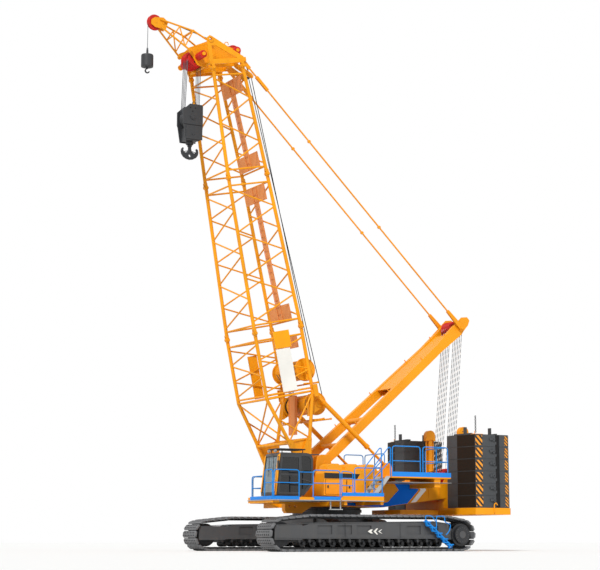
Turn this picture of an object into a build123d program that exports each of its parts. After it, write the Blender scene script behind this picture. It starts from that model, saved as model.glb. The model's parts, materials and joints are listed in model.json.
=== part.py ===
"""Crawler crane with a lattice boom, a luffing mast and two counterweight stacks.
Millimetres. X forward, Y to the crane's left, Z up, origin on the ground in the middle of the length."""
import os
from math import atan2, cos, hypot, radians, sin

from build123d import *

os.makedirs("parts", exist_ok=True)

# ---- driving dimensions ----
# Drawn about the slewing axis; the whole length runs from the tray's back to the small hook.
MIDDLE_X = 810
TRACK_Y, SHOE_W = 3200, 1200
AXLE_X, AXLE_Z = 3890, 630
TRACK_TOP = 1370
SHOES, SHOE_T, GROOVE = 66, 60, 34
LINK_T, LINK_W = 100, 420
ROLLER_R, ROLLER_W, ROLLERS = 140, 480, 15
ROLLER_X0, ROLLER_PITCH = -3010, 430
RING_R, RING_Z0, RING_Z1 = 1350, 1390, 1690
DECK_Z = 2000
BOOM_FOOT = (1620, 2680)
BOOM_ANGLE = 78.2
BOOM_FOOT_Y = 1320
FOOT_PIN_R = 75
MAST_FOOT = (700, 3370)
MAST_ANGLE = 40.5
MAST_LEN = 9000
STACK_Z0, STACK_SLABS, SLAB_H = 1690, 6, 483
PENDANT_Y = 680
BACKSTOP_Y = 1352
BACKSTOP_FOOT = (-1950, 3330)


# ---- helpers ----
def slab(outline, y_mid, thick):
    """A plate of the given side outline (X, Z), centred across Y."""
    with BuildPart() as piece:
        with BuildSketch(Plane.XZ.offset(-y_mid)):
            with BuildLine():
                Polyline(*outline, close=True)
            make_face()
        extrude(amount=thick / 2, both=True)
    return piece.part


def disc(x, y, z, radius, width, hole=0):
    """A wheel or pin lying across Y."""
    with BuildPart() as piece:
        with BuildSketch(Plane.XZ.offset(-y)):
            with Locations((x, z)):
                Circle(radius)
                if hole:
                    Circle(hole, mode=Mode.SUBTRACT)
        extrude(amount=width / 2, both=True)
    return piece.part


def sheave(x, y, z, radius, width, groove, hole):
    """A rope wheel with a V groove, turned about Y."""
    half = width / 2
    with BuildPart() as piece:
        with BuildSketch(Plane.XY):
            with BuildLine():
                Polyline((hole, -half), (radius, -half), (radius - groove, 0), (radius, half),
                         (hole, half), close=True)
            make_face()
        revolve(axis=Axis.Y)
    return piece.part.moved(Location((x, y, z)))


def rod(p, q, radius):
    """A round bar between two points."""
    start, end = Vector(*p), Vector(*q)
    with BuildPart(Plane(origin=start, z_dir=end - start)) as piece:
        Cylinder(radius, (end - start).length, align=(Align.CENTER, Align.CENTER, Align.MIN))
    return piece.part


def block(x0, x1, y0, y1, z0, z1):
    """A box by its limits."""
    with BuildPart() as piece:
        with Locations(((x0 + x1) / 2, (y0 + y1) / 2, (z0 + z1) / 2)):
            Box(x1 - x0, y1 - y0, z1 - z0)
    return piece.part


UX, UZ = cos(radians(BOOM_ANGLE)), sin(radians(BOOM_ANGLE))
MX, MZ = -cos(radians(MAST_ANGLE)), sin(radians(MAST_ANGLE))


def on_boom(s, n, y=None):
    """A point s along the boom from its foot pin and n forward of its centre line."""
    x, z = BOOM_FOOT[0] + s * UX + n * UZ, BOOM_FOOT[1] + s * UZ - n * UX
    return (x, z) if y is None else (x, y, z)


def on_mast(s, n, y=None):
    """A point s along the mast from its foot pin and n above its centre line."""
    x, z = MAST_FOOT[0] + s * MX + n * MZ, MAST_FOOT[1] + s * MZ - n * MX
    return (x, z) if y is None else (x, y, z)


def save(holder, name):
    """Write one piece, moved so that the shared origin is under the middle of the whole length."""
    piece = holder.part.moved(Location((-MIDDLE_X, 0, 0)))
    piece.label = name
    export_step(piece, f"parts/{name}.step")


# ======== undercarriage ========
# The track runs round this closed line, given at the outer face of the shoes.
def track_line(inset):
    """Outer face of the track, moved inward by inset: bottom, front arc, top, rear arc."""
    r = AXLE_Z - inset
    top = TRACK_TOP - inset
    pts = [(-AXLE_X, inset), (AXLE_X, inset)]
    pts += [(AXLE_X + r * cos(radians(a)), AXLE_Z + r * sin(radians(a))) for a in range(-75, 90, 15)]
    pts += [(2750, top), (-3250, top)]
    pts += [(-AXLE_X + r * cos(radians(a)), AXLE_Z + r * sin(radians(a))) for a in range(90, 271, 15)]
    return pts[:-1]


def walk(points, count):
    """Equally spaced stations on a closed line: position, direction."""
    legs = []
    total = 0.0
    for (ax, az), (bx, bz) in zip(points, points[1:] + points[:1]):
        length = hypot(bx - ax, bz - az)
        legs.append((total, length, ax, az, bx, bz))
        total += length
    stations = []
    for k in range(count):
        want = total * k / count
        for start, length, ax, az, bx, bz in legs:
            if start <= want < start + length + 1e-9:
                f = (want - start) / length
                heading = atan2(bz - az, bx - ax)
                stations.append((ax + f * (bx - ax), az + f * (bz - az), heading))
                break
    return stations, total / count


MID_LINE = track_line(SHOE_T)
stations, SHOE_PITCH = walk(MID_LINE, SHOES)
shoe_outline = []
for sx, sz, heading in stations:
    nx, nz = sin(heading), -cos(heading)
    for along, out in ((-0.45, SHOE_T - GROOVE), (-0.40, SHOE_T), (0.40, SHOE_T), (0.45, SHOE_T - GROOVE)):
        step = along * SHOE_PITCH
        z = sz + step * sin(heading) + out * nz
        shoe_outline.append((sx + step * cos(heading) + out * nx, min(max(z, 0), TRACK_TOP)))

for side, name in ((1, "left_track"), (-1, "right_track")):
    with BuildPart() as track:
        with BuildSketch(Plane.XZ.offset(-side * TRACK_Y)):
            with BuildLine():
                Polyline(*shoe_outline, close=True)
            make_face()
            with BuildLine():
                Polyline(*track_line(SHOE_T + 25), close=True)
            make_face(mode=Mode.SUBTRACT)
        extrude(amount=SHOE_W / 2, both=True)
        with BuildSketch(Plane.XZ.offset(-side * TRACK_Y)):
            with BuildLine():
                Polyline(*track_line(SHOE_T + 20), close=True)
            make_face()
            with BuildLine():
                Polyline(*track_line(SHOE_T + LINK_T), close=True)
            make_face(mode=Mode.SUBTRACT)
        extrude(amount=LINK_W / 2, both=True)
    save(track, name)

LOOP_IN = SHOE_T + LINK_T
FRAME_OUT, FRAME_IN = 3720, 2680
frame_outline = [(-3150, 470), (3200, 470), (3395, 560), (3395, 880),
                 (2600, 1060), (-2600, 1140), (-3300, 1060), (-3300, 560)]
end_fork = [(3200, 520), (4060, 520), (4060, 740), (3200, 800)]
drive_fork = [(-3250, 430), (-4080, 520), (-4080, 760), (-3250, 900)]
for side, name in ((1, "left_track_frame"), (-1, "right_track_frame")):
    with BuildPart() as track_frame:
        add(slab(frame_outline, side * TRACK_Y, FRAME_OUT - FRAME_IN))
        # roller carrier lugs between the rollers
        lug_x = [ROLLER_X0 + (k - 0.5) * ROLLER_PITCH for k in range(ROLLERS + 1)]
        add([block(x - 45, x + 45, side * TRACK_Y - 420, side * TRACK_Y + 420, 340, 480) for x in lug_x])
        for y in (side * TRACK_Y - 400, side * TRACK_Y + 400):
            add(slab(end_fork, y, 70))
            add(slab(drive_fork, y, 70))
        # cheeks that cover the idler
        cheek = [(3150, 430), (4300, 430), (4300, 880), (4200, 985), (3150, 985)]
        for y in (side * TRACK_Y - 490, side * TRACK_Y + 490):
            add(slab(cheek, y, 60))
        # recessed bays in both faces
        for y in (FRAME_OUT, FRAME_IN):
            for x in (-2500, -1700, 500, 1350, 2200):
                with Locations((x, side * y, 800)):
                    Box(620, 90, 330, mode=Mode.SUBTRACT)
    save(track_frame, name)

with BuildPart() as sprockets:
    for side in (1, -1):
        y = side * TRACK_Y
        add([disc(-AXLE_X, y, AXLE_Z, AXLE_Z - LOOP_IN - 12, LINK_W + 20),
             disc(-AXLE_X, y, AXLE_Z, 300, 690)])
        add([disc(-AXLE_X, side * (TRACK_Y + 460), AXLE_Z, 430, 40),
             disc(-AXLE_X, side * (TRACK_Y + 535), AXLE_Z, 330, 120),
             disc(-AXLE_X, side * (TRACK_Y - 555), AXLE_Z, 330, 230)])
save(sprockets, "track_drives")

with BuildPart() as idlers:
    for side in (1, -1):
        y = side * TRACK_Y
        add([disc(AXLE_X, y, AXLE_Z, AXLE_Z - LOOP_IN - 12, LINK_W + 20),
             disc(AXLE_X, y, AXLE_Z, 150, 700)])
save(idlers, "idler_wheels")

with BuildPart() as rollers:
    for side in (1, -1):
        with BuildSketch(Plane.XZ.offset(-side * TRACK_Y)):
            with Locations([(ROLLER_X0 + k * ROLLER_PITCH, LOOP_IN + ROLLER_R + 4) for k in range(ROLLERS)]):
                Circle(ROLLER_R)
        extrude(amount=ROLLER_W / 2, both=True)
save(rollers, "track_rollers")

with BuildPart() as car_body:
    add(block(-1450, 1450, -1500, 1500, 520, 1280))
    # four arms out to the track frames
    for sx in (1, -1):
        for side in (1, -1):
            with BuildSketch(Plane.YZ.offset(sx * 1350)):
                with BuildLine():
                    Polyline((side * 1200, 560), (side * FRAME_IN, 560), (side * FRAME_IN, 1000),
                             (side * 2200, 1200), (side * 1200, 1280), close=True)
                make_face()
            extrude(amount=-sx * 620)
    with Locations((0, 0, 1280)):
        Cylinder(1500, RING_Z0 - 1280, align=(Align.CENTER, Align.CENTER, Align.MIN))
    # towing lugs and inspection covers
    for sx in (1, -1):
        for y in (-700, 700):
            add(slab([(sx * 1430, 620), (sx * 1640, 700), (sx * 1660, 780), (sx * 1600, 850),
                      (sx * 1430, 900)], y, 60))
            add(disc(sx * 1590, y, 770, 38, 80), mode=Mode.SUBTRACT)
save(car_body, "car_body")

with BuildPart() as ring:
    with BuildSketch(Plane.XY.offset(RING_Z0)):
        Circle(RING_R)
        Circle(1100, mode=Mode.SUBTRACT)
    extrude(amount=RING_Z1 - RING_Z0)
    with BuildSketch(Plane.XY.offset(1500)):
        Circle(RING_R + 45)
        Circle(1200, mode=Mode.SUBTRACT)
    extrude(amount=90)
save(ring, "slewing_ring")

# stepped ladder down the outside of each track frame, near the drive end
STEP_TOP, STEP_FOOT = (-2150, 1180), (-3330, 190)
with BuildPart() as steps:
    rungs = []
    for side in (1, -1):
        inner, outer = TRACK_Y + SHOE_W / 2 + 12, TRACK_Y + SHOE_W / 2 + 132
        for k in range(5):
            f = k / 4
            x = STEP_TOP[0] + f * (STEP_FOOT[0] - STEP_TOP[0])
            z = STEP_TOP[1] + f * (STEP_FOOT[1] - STEP_TOP[1])
            rungs.append(block(x - 140, x + 140, min(side * inner, side * outer),
                               max(side * inner, side * outer), z, z + 30))
        for y in (inner + 12, outer - 12):
            rungs.append(slab([(STEP_TOP[0] + 130, STEP_TOP[1] - 70), (STEP_TOP[0] + 130, STEP_TOP[1] + 28),
                               (STEP_TOP[0] - 60, STEP_TOP[1] + 28), (STEP_FOOT[0] - 140, STEP_FOOT[1] + 28),
                               (STEP_FOOT[0] - 140, STEP_FOOT[1] - 40)], side * y, 16))
        # brackets out from the track frame, between the two runs of the track
        for x, z in ((-2300, 960), (-2850, 560)):
            rungs.append(block(x - 40, x + 40, min(side * FRAME_OUT, side * outer),
                               max(side * FRAME_OUT, side * outer), z, z + 60))
    add(rungs)
save(steps, "track_steps")


# ======== upperworks ========
FRAME_Y, FRAME_T = 1300, 240
side_outline = [(1500, 1700), (1900, 1900), (1900, 2350), (1980, 2450), (1980, 2760), (1840, 2900),
                (1400, 2900), (1260, 2760), (1180, 2070), (-1250, 2070), (-1500, 2700), (-4900, 2700),
                (-4900, 2120), (-4700, 2090), (-1750, 1700)]
with BuildPart() as frame:
    for side in (1, -1):
        add(slab(side_outline, side * FRAME_Y, FRAME_T))
    # slot for the boom foot eyes
    for side in (1, -1):
        with Locations((1660, side * BOOM_FOOT_Y, 2700)):
            Box(700, 140, 700, mode=Mode.SUBTRACT)
    # floor, cross plates and the ring housing
    in_y = FRAME_Y - FRAME_T / 2
    add([block(-1250, 1500, -in_y, in_y, 1700, 1800),
         block(1420, 1500, -in_y, in_y, 1800, 2070),
         block(-1330, -1250, -in_y, in_y, 1700, 2600),
         block(-4900, -4820, -in_y, in_y, 2010, 2700)])
    floor = [(-1250, 1700), (-1750, 1700), (-4700, 2090), (-4900, 2120), (-4900, 2200), (-1250, 1790)]
    add(slab(floor, 0, 2 * in_y))
    with Locations((0, 0, 1695)):
        Cylinder(1300, 60, align=(Align.CENTER, Align.CENTER, Align.MIN))
    # mast foot towers and their tie
    tower = [(200, 1800), (1150, 1800), (1080, 3400), (1010, 3640), (880, 3720), (620, 3720),
             (500, 3600), (420, 3300)]
    for side in (1, -1):
        for y, thick in ((760, 60), (1120, 110)):
            add(slab(tower, side * y, thick))
        add(block(260, 1080, side * 910 - 120, side * 910 + 120, 1800, 2300))
        add(disc(MAST_FOOT[0], side * 910, MAST_FOOT[1], 70, 340))
    add(disc(1100, 0, 3080, 60, 1540))
    # luffing winch cheeks
    for side in (1, -1):
        add(slab([(-3900, 2000), (-2700, 1900), (-2900, 2760), (-3700, 2760)], side * 1110, 140))
    # backstop stands
    stand = [(-2350, 2640), (-1500, 2640), (-1780, 3380), (-1860, 3440), (-2040, 3440), (-2120, 3380)]
    for side in (1, -1):
        for y in (BACKSTOP_Y - 92, BACKSTOP_Y + 92):
            add(slab(stand, side * y, 50))
        add(disc(BACKSTOP_FOOT[0], side * BACKSTOP_Y, BACKSTOP_FOOT[1], 45, 270))
    # boom foot pins across the slots
    for side in (1, -1):
        foot_y = side * BOOM_FOOT_Y
        add([disc(BOOM_FOOT[0], foot_y - side * 10, BOOM_FOOT[1], FOOT_PIN_R, 300),
             disc(BOOM_FOOT[0], side * (FRAME_Y + FRAME_T / 2 + 12), BOOM_FOOT[1], 135, 24)])
    # nose plate under the cab deck, with two holes
    nose = [(1400, 1740), (1900, 1440), (2560, 1440), (2640, 1540), (2640, 1850), (2560, 1893), (1860, 1893)]
    add(slab(nose, FRAME_Y, FRAME_T))
    for x in (2180, 2440):
        add(disc(x, FRAME_Y, 1700, 40, 300), mode=Mode.SUBTRACT)
save(frame, "turntable_frame")

# right-hand engine house, left-hand tank house
WALL = 40
right_house = [(1350, 2035), (1350, 2950), (1250, 3120), (-2550, 3120), (-2600, 3060), (-2600, 2035)]
left_house = [(1350, 2105), (1350, 2950), (1250, 3100), (-1150, 3100), (-1210, 3040), (-1210, 2105)]


def hollow(outline, y_mid, wide, wall):
    """A closed sheet-metal body with an even wall."""
    with BuildPart() as piece:
        with BuildSketch(Plane.XZ.offset(-y_mid)):
            with BuildLine():
                Polyline(*outline, close=True)
            make_face()
        extrude(amount=wide / 2, both=True)
        with BuildSketch(Plane.XZ.offset(-y_mid)):
            with BuildLine():
                Polyline(*outline, close=True)
            make_face()
            offset(amount=-wall, kind=Kind.INTERSECTION, mode=Mode.REPLACE)
        extrude(amount=wide / 2 - wall, both=True, mode=Mode.SUBTRACT)
    return piece.part


with BuildPart() as right_body:
    add(hollow(right_house, -2120, 1280, WALL))
    # air outlets on the roof and louvre panels on the side
    for x in (700, -300, -1700):
        with BuildSketch(Plane.XZ.offset(2120)):
            with BuildLine():
                Polyline((x - 380, 3110), (x - 330, 3290), (x - 180, 3390), (x + 180, 3390), (x + 330, 3290),
                         (x + 380, 3110), close=True)
            make_face()
        extrude(amount=480, both=True)
    for x in (-2150, -1250, -350, 550):
        for z in range(2250, 2900, 90):
            with Locations((x, -2760, z)):
                Box(620, 30, 40, mode=Mode.SUBTRACT)
    with Locations((-900, -1900, 3120)):
        Cylinder(90, 620, align=(Align.CENTER, Align.CENTER, Align.MIN))
save(right_body, "engine_house")

with BuildPart() as engine:
    add(block(-1300, 900, -2500, -1700, 2080, 2900))
save(engine, "engine_block")

with BuildPart() as left_body:
    add(hollow(left_house, 1830, 700, WALL))
    for x in (850, 50, -720):
        with BuildSketch(Plane.XZ.offset(-1800)):
            with BuildLine():
                Polyline((x - 340, 3090), (x - 300, 3240), (x - 150, 3330), (x + 150, 3330), (x + 300, 3240),
                         (x + 340, 3090), close=True)
            make_face()
        extrude(amount=330, both=True)
    # shallow reveal lines of the doors
    for x in (-500, 350):
        with Locations((x, 2180, 2600)):
            Box(14, 20, 900, mode=Mode.SUBTRACT)
save(left_body, "tank_house")

# counterweight tray, stacks and lifting posts
TRAY_Z0, TRAY_Z1 = 1425, 1688
TRAY_BACK = -6640
TRAY = [(-4640, 0), (-4640, 2330), (-4880, 3290), (-6560, 3290), (TRAY_BACK, 3210), (TRAY_BACK, 0)]
with BuildPart() as tray:
    with BuildSketch(Plane.XY.offset(TRAY_Z0)):
        with BuildLine():
            Polyline(*TRAY, *[(x, -y) for x, y in reversed(TRAY[1:-1])], close=True)
        make_face()
    extrude(amount=TRAY_Z1 - TRAY_Z0)
    # pockets between the ribs of the underside
    for x in (-5100, -5680, -6260):
        with Locations(*[(x, y, TRAY_Z0) for y in (-2600, -1500, 1500, 2600)]):
            Box(440, 900, 200, mode=Mode.SUBTRACT)
    # box girder along the middle, and the lugs that meet the frame
    add(block(TRAY_BACK, -4640, -1070, 1070, TRAY_Z1, 1960))
    for side in (1, -1):
        add(block(-4880, -4700, side * 1300 - 100, side * 1300 + 100, TRAY_Z1 - 20, 2088))
        add(block(-4720, -4640, min(side * 1000, side * 1400), max(side * 1000, side * 1400),
                  TRAY_Z1 - 20, 1960))
    # tongue forward under the frame, narrowing at its end
    with BuildSketch(Plane.XY.offset(1450)):
        with BuildLine():
            Polyline((-4660, -1050), (-2800, -1050), (-2420, -500), (-2420, 500), (-2800, 1050), (-4660, 1050),
                     close=True)
        make_face()
    extrude(amount=170)
save(tray, "counterweight_tray")

STACK = [(-4710, 1610), (-4710, 2330), (-4930, 3260), (-6530, 3260), (-6630, 3160), (-6630, 1610)]
for side, name in ((1, "left_counterweights"), (-1, "right_counterweights")):
    with BuildPart() as stack:
        for inset, joints in ((14, 0), (0, 14)):
            for k in range(STACK_SLABS if joints else 1):
                with BuildSketch(Plane.XY.offset(STACK_Z0 + k * SLAB_H + joints / 2)):
                    with BuildLine():
                        Polyline(*[(x, side * y) for x, y in STACK], close=True)
                    make_face()
                    if inset:
                        offset(amount=-inset, kind=Kind.INTERSECTION, mode=Mode.REPLACE)
                    # upright slot for the hoisting lugs
                    with Locations((-6010, side * 3260)):
                        Rectangle(200, 90, mode=Mode.SUBTRACT)
                extrude(amount=(SLAB_H - joints) if joints else STACK_SLABS * SLAB_H)
        for k in range(STACK_SLABS):
            with Locations((-5920, side * 3215, STACK_Z0 + (k + 0.3) * SLAB_H)):
                Box(90, 90, 110)
        # lifting bars on top
        top = STACK_Z0 + STACK_SLABS * SLAB_H
        for x in (-5050, -6250):
            with Locations((x, side * 2420, top - 20)):
                Box(90, 900, 90, align=(Align.CENTER, Align.CENTER, Align.MIN))
            with Locations((x, side * 2420, top + 60)):
                Box(60, 160, 260, align=(Align.CENTER, Align.CENTER, Align.MIN))
    save(stack, name)

POST_X, POST_Y = -5750, 1230
HEAD_Z = 4790
with BuildPart() as posts:
    for side in (1, -1):
        y = side * POST_Y
        # round-topped head over two chain wheels
        with BuildSketch(Plane.XZ.offset(-y)):
            with Locations((POST_X, HEAD_Z)):
                Circle(225)
            with Locations((POST_X, HEAD_Z - 110)):
                Rectangle(450, 220)
            with Locations((POST_X, HEAD_Z - 260)):
                Rectangle(190, 160, mode=Mode.SUBTRACT)
        extrude(amount=105, both=True)
        add([block(POST_X - 80, POST_X + 80, y - 80, y + 80, TRAY_Z1 + 4, 4640),
             block(POST_X - 260, POST_X + 260, y - 110, y + 110, TRAY_Z1 + 4, 1760),
             slab([(POST_X - 230, 1760), (POST_X + 230, 1760), (POST_X + 80, 2250), (POST_X - 80, 2250)],
                  y, 24)])
        for x in (POST_X - 170, POST_X + 170):
            add(block(x - 22, x + 22, y - 22, y + 22, 1740, 4600))
save(posts, "weight_lifting_posts")

# luffing winch and the lower rope block

def drum(x, z, width, core, flange, thick):
    """A rope drum between two flanges, with the wound rope standing proud of the core."""
    with BuildPart() as piece:
        add([disc(x, 0, z, core, width), disc(x, 0, z, flange - 70, width - 2 * thick - 60),
             disc(x, width / 2 - thick / 2, z, flange, thick),
             disc(x, -width / 2 + thick / 2, z, flange, thick)])
    return piece.part


WINCH_X, WINCH_Z = -3300, 2560
with BuildPart() as luff_drum:
    add(drum(WINCH_X, WINCH_Z, 2060, 200, 330, 50))
save(luff_drum, "luffing_drum")

LOWER_X, LOWER_Z = -5600, 3020
with BuildPart() as block_stand:
    foot = [(-6100, 1962), (-4960, 1962), (-4960, 2250), (LOWER_X + 120, LOWER_Z + 60),
            (LOWER_X + 60, LOWER_Z + 130), (LOWER_X - 60, LOWER_Z + 130), (LOWER_X - 120, LOWER_Z + 60),
            (-6100, 2250)]
    for y in (-430, 430):
        add(slab(foot, y, 50))
    add([block(-6100, -5000, -1050, 1050, 1962, 2020), disc(LOWER_X, 0, LOWER_Z, 60, 880)])
save(block_stand, "rope_block_stand")

SHEAVES_Y = (-300, -180, -60, 60, 180, 300)
with BuildPart() as lower_sheaves:
    for y in SHEAVES_Y:
        add(sheave(LOWER_X, y, LOWER_Z, 330, 100, 40, 66))
save(lower_sheaves, "lower_block_sheaves")

# decks, platforms, stairs and rails
DECK_T = 100
PLAT_Z, PLAT_X0, PLAT_X1, PLAT_Y = 2830, -3760, -1030, 3250
HOUSE_BACK = -1240
with BuildPart() as decks:
    # cab deck, walkways beside the houses, and the folded lips
    add([block(1450, 4220, 1432, 3330, DECK_Z - DECK_T, DECK_Z),
         block(-620, 1450, 2202, 3330, DECK_Z - DECK_T, DECK_Z),
         block(4160, 4220, 1432, 3330, DECK_Z - 210, DECK_Z - DECK_T),
         block(-2600, 1700, -3330, -2765, DECK_Z - DECK_T, DECK_Z),
         block(1380, 1700, -2765, -1432, DECK_Z - DECK_T, DECK_Z),
         block(-620, 1200, 3270, 3330, DECK_Z, DECK_Z + 190)])
    # bearers under the cab deck
    add([block(1905, 4060, 1432, 1560, 1790, DECK_Z - DECK_T),
         block(3860, 4060, 1560, 3240, 1790, DECK_Z - DECK_T)])
    for side in (1, -1):
        # outriggers from the frame to the walkways and to the rear platform
        near, far = side * (FRAME_Y + FRAME_T / 2), side * 3280
        for x, z0, z1 in ((1040, 1720, DECK_Z - DECK_T), (-560, 1750, DECK_Z - DECK_T)):
            add(block(x - 60, x + 60, min(near, far), max(near, far), z0, z1))
        add(block(-3300, -3020, min(near, side * 3200), max(near, side * 3200), 2450, PLAT_Z - 40))
        # rear platform with its folded edges
        front = PLAT_X1 if side > 0 else -2640
        edge, house = side * PLAT_Y, side * 2200
        inner_front = HOUSE_BACK if side > 0 else front
        add([block(PLAT_X0, inner_front, min(side * 1480, house), max(side * 1480, house), PLAT_Z - 40, PLAT_Z),
             block(PLAT_X0, front, min(house, edge), max(house, edge), PLAT_Z - 40, PLAT_Z),
             block(PLAT_X0, front, min(edge, edge - side * 40), max(edge, edge - side * 40), PLAT_Z,
                   PLAT_Z + 190),
             block(PLAT_X0, PLAT_X0 + 40, min(side * 1480, edge), max(side * 1480, edge), PLAT_Z,
                   PLAT_Z + 190)])
save(decks, "side_decks")

with BuildPart() as stairs:
    # flight from the left walkway up to the rear platform
    for y in (2480, 3180):
        add(slab([(-300, DECK_Z + 4), (-80, DECK_Z + 4), (-830, PLAT_Z + 20), (-1020, PLAT_Z + 20)], y, 30))
    for k in range(4):
        x, z = -270 - 170 * k, 2160 + 185 * k
        add(block(x - 150, x + 90, 2495, 3165, z, z + 35))
    # step hung below the left deck edge
    for x in (1210, 1640):
        add(block(x, x + 36, 3180, 3216, 1560, DECK_Z - DECK_T - 4))
    add(block(1200, 1686, 3130, 3330, 1540, 1575))
save(stairs, "deck_stairs")

# rail panels: floor level, height, then the corner points in plan; each straight stretch stands alone
RAIL, RAIL_GAP = 38, 55
PLAT_RAIL_Y = PLAT_Y - 62
RAIL_RUNS = [
    (DECK_Z + 2, 1020, [(4170, 2640), (4170, 3300), (1250, 3300)]),
    (DECK_Z + 2, 1020, [(1660, -1490), (1660, -3300), (-2560, -3300), (-2560, -2800)]),
    (DECK_Z + 192, 960, [(690, 3300), (-590, 3300)]),
    (PLAT_Z + 2, 1200, [(-1060, PLAT_RAIL_Y), (PLAT_X0 + 62, PLAT_RAIL_Y), (PLAT_X0 + 62, 1510)]),
    (PLAT_Z + 2, 1200, [(-2680, -PLAT_RAIL_Y), (PLAT_X0 + 62, -PLAT_RAIL_Y), (PLAT_X0 + 62, -1510)]),
]
with BuildPart() as rails:
    lot = []
    for base, tall, corners in RAIL_RUNS:
        for k, ((ax, ay), (bx, by)) in enumerate(zip(corners, corners[1:])):
            length = hypot(bx - ax, by - ay)
            dx, dy = (bx - ax) / length, (by - ay) / length
            if k > 0:
                ax, ay = ax + dx * RAIL_GAP, ay + dy * RAIL_GAP
            bays = max(1, round(length / 1150))
            for j in range(bays + 1):
                px, py = ax + (bx - ax) * j / bays, ay + (by - ay) * j / bays
                lot.append(block(px - RAIL / 2, px + RAIL / 2, py - RAIL / 2, py + RAIL / 2,
                                 base, base + tall))
            for z, wide, high in ((base + tall - RAIL, RAIL, RAIL), (base + tall * 0.52, RAIL, RAIL),
                                  (base + 20, 12, 120)):
                lot.append(block(min(ax, bx) - wide / 2, max(ax, bx) + wide / 2, min(ay, by) - wide / 2,
                                 max(ay, by) + wide / 2, z, z + high))
    add(lot)
save(rails, "guard_rails")

# ---- cab ----
CAB_Y0, CAB_Y1, CAB_WALL = 1790, 2900, 50
cab_side = [(2640, 2060), (3860, 2060), (3870, 2200), (3690, 3560), (3600, 3640), (2420, 3640),
            (2300, 3580), (2240, 3450), (2240, 2500)]
with BuildPart() as cab:
    add(hollow(cab_side, (CAB_Y0 + CAB_Y1) / 2, CAB_Y1 - CAB_Y0, CAB_WALL))
    cab_mid = (CAB_Y0 + CAB_Y1) / 2
    # left door opening and rear quarter light
    for outline, y in (
            ([(2830, 2160), (3760, 2160), (3610, 3520), (2830, 3520)], CAB_Y1),
            ([(2330, 2560), (2330, 3420), (2440, 3530), (2730, 3530), (2730, 2300), (2560, 2300)], CAB_Y1),
            ([(2830, 2250), (3730, 2250), (3590, 3520), (2830, 3520)], CAB_Y0),
            ([(2330, 2700), (2330, 3420), (2440, 3530), (2730, 3530), (2730, 2700)], CAB_Y0)):
        with BuildSketch(Plane.XZ.offset(-y)):
            with BuildLine():
                Polyline(*outline, close=True)
            make_face()
        extrude(amount=CAB_WALL + 20, both=True, mode=Mode.SUBTRACT)
    # windscreen, rear window and roof light
    for x0, x1, z0, z1 in ((3560, 3960, 2180, 3500), (2200, 2400, 2750, 3400)):
        with Locations(((x0 + x1) / 2, cab_mid, (z0 + z1) / 2)):
            Box(x1 - x0, CAB_Y1 - CAB_Y0 - 190, z1 - z0, mode=Mode.SUBTRACT)
    with Locations((3150, cab_mid, 3640)):
        Box(620, 760, 200, mode=Mode.SUBTRACT)
    # rubber feet
    with Locations(*[(x, y, DECK_Z + 2) for x in (2750, 3700) for y in (CAB_Y0 + 150, CAB_Y1 - 150)]):
        Cylinder(70, 62, align=(Align.CENTER, Align.CENTER, Align.MIN))
    # door rails above and below the opening
    add([block(1980, 3700, CAB_Y1 - 2, CAB_Y1 + 8, 3580, 3620), block(2640, 3800, CAB_Y1 - 2, CAB_Y1 + 8, 2066, 2096)])
save(cab, "cab_shell")

GLASS = 8
with BuildPart() as panes:
    mid = (CAB_Y0 + CAB_Y1) / 2
    half = (CAB_Y1 - CAB_Y0 - 190) / 2
    add(slab([(3836, 2182), (3844, 2182), (3675, 3498), (3667, 3498)], mid, 2 * half - 4))
    add(slab([(2332, 2562), (2332, 3419), (2441, 3528), (2728, 3528), (2728, 2302), (2561, 2302)],
             CAB_Y1 - 20, GLASS))
    add(slab([(2832, 2252), (3727, 2252), (3588, 3518), (2832, 3518)], CAB_Y0 + 20, GLASS))
    add(slab([(2332, 2702), (2332, 3419), (2441, 3528), (2728, 3528), (2728, 2702)], CAB_Y0 + 20, GLASS))
    add([block(2256, 2264, mid - half + 2, mid + half - 2, 2752, 3398),
         block(2842, 3458, mid - 378, mid + 378, 3618, 3626)])
save(panes, "cab_windows")

DOOR_Y = CAB_Y1 + 14
door_outline = [(2790, 2110), (3800, 2110), (3640, 3565), (2790, 3565)]
with BuildPart() as door:
    add(slab(door_outline, DOOR_Y + 20, 40))
    for outline in ([(2880, 2190), (3700, 2190), (3632, 2800), (2880, 2800)],
                    [(2880, 2880), (3622, 2880), (3560, 3480), (2880, 3480)]):
        with BuildSketch(Plane.XZ.offset(-DOOR_Y - 20)):
            with BuildLine():
                Polyline(*outline, close=True)
            make_face()
        extrude(amount=40, both=True, mode=Mode.SUBTRACT)
    add(block(2830, 2866, DOOR_Y + 38, DOOR_Y + 78, 2700, 2980))
save(door, "cab_door")

with BuildPart() as door_glass:
    add([slab([(2882, 2192), (3697, 2192), (3630, 2798), (2882, 2798)], DOOR_Y + 20, GLASS),
         slab([(2882, 2882), (3619, 2882), (3558, 3478), (2882, 3478)], DOOR_Y + 20, GLASS)])
save(door_glass, "door_glass")

with BuildPart() as chair:
    mid = (CAB_Y0 + CAB_Y1) / 2
    add([slab([(2640, 2560), (3160, 2560), (3180, 2640), (3140, 2690), (2640, 2670)], mid, 480),
         slab([(2640, 2560), (2700, 2670), (2560, 3260), (2460, 3260), (2560, 2560)], mid, 460),
         slab([(2720, 2560), (3020, 2560), (3060, 2112), (2680, 2112)], mid, 300)])
    for side in (1, -1):
        add([slab([(2640, 2780), (3200, 2780), (3200, 2840), (2640, 2840)], mid + side * 300, 110),
             slab([(2760, 2600), (2900, 2600), (2900, 2785), (2760, 2785)], mid + side * 260, 60)])
        add(rod((3150, mid + side * 300, 2838), (3150, mid + side * 300, 2960), 22))
save(chair, "operator_chair")

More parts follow.
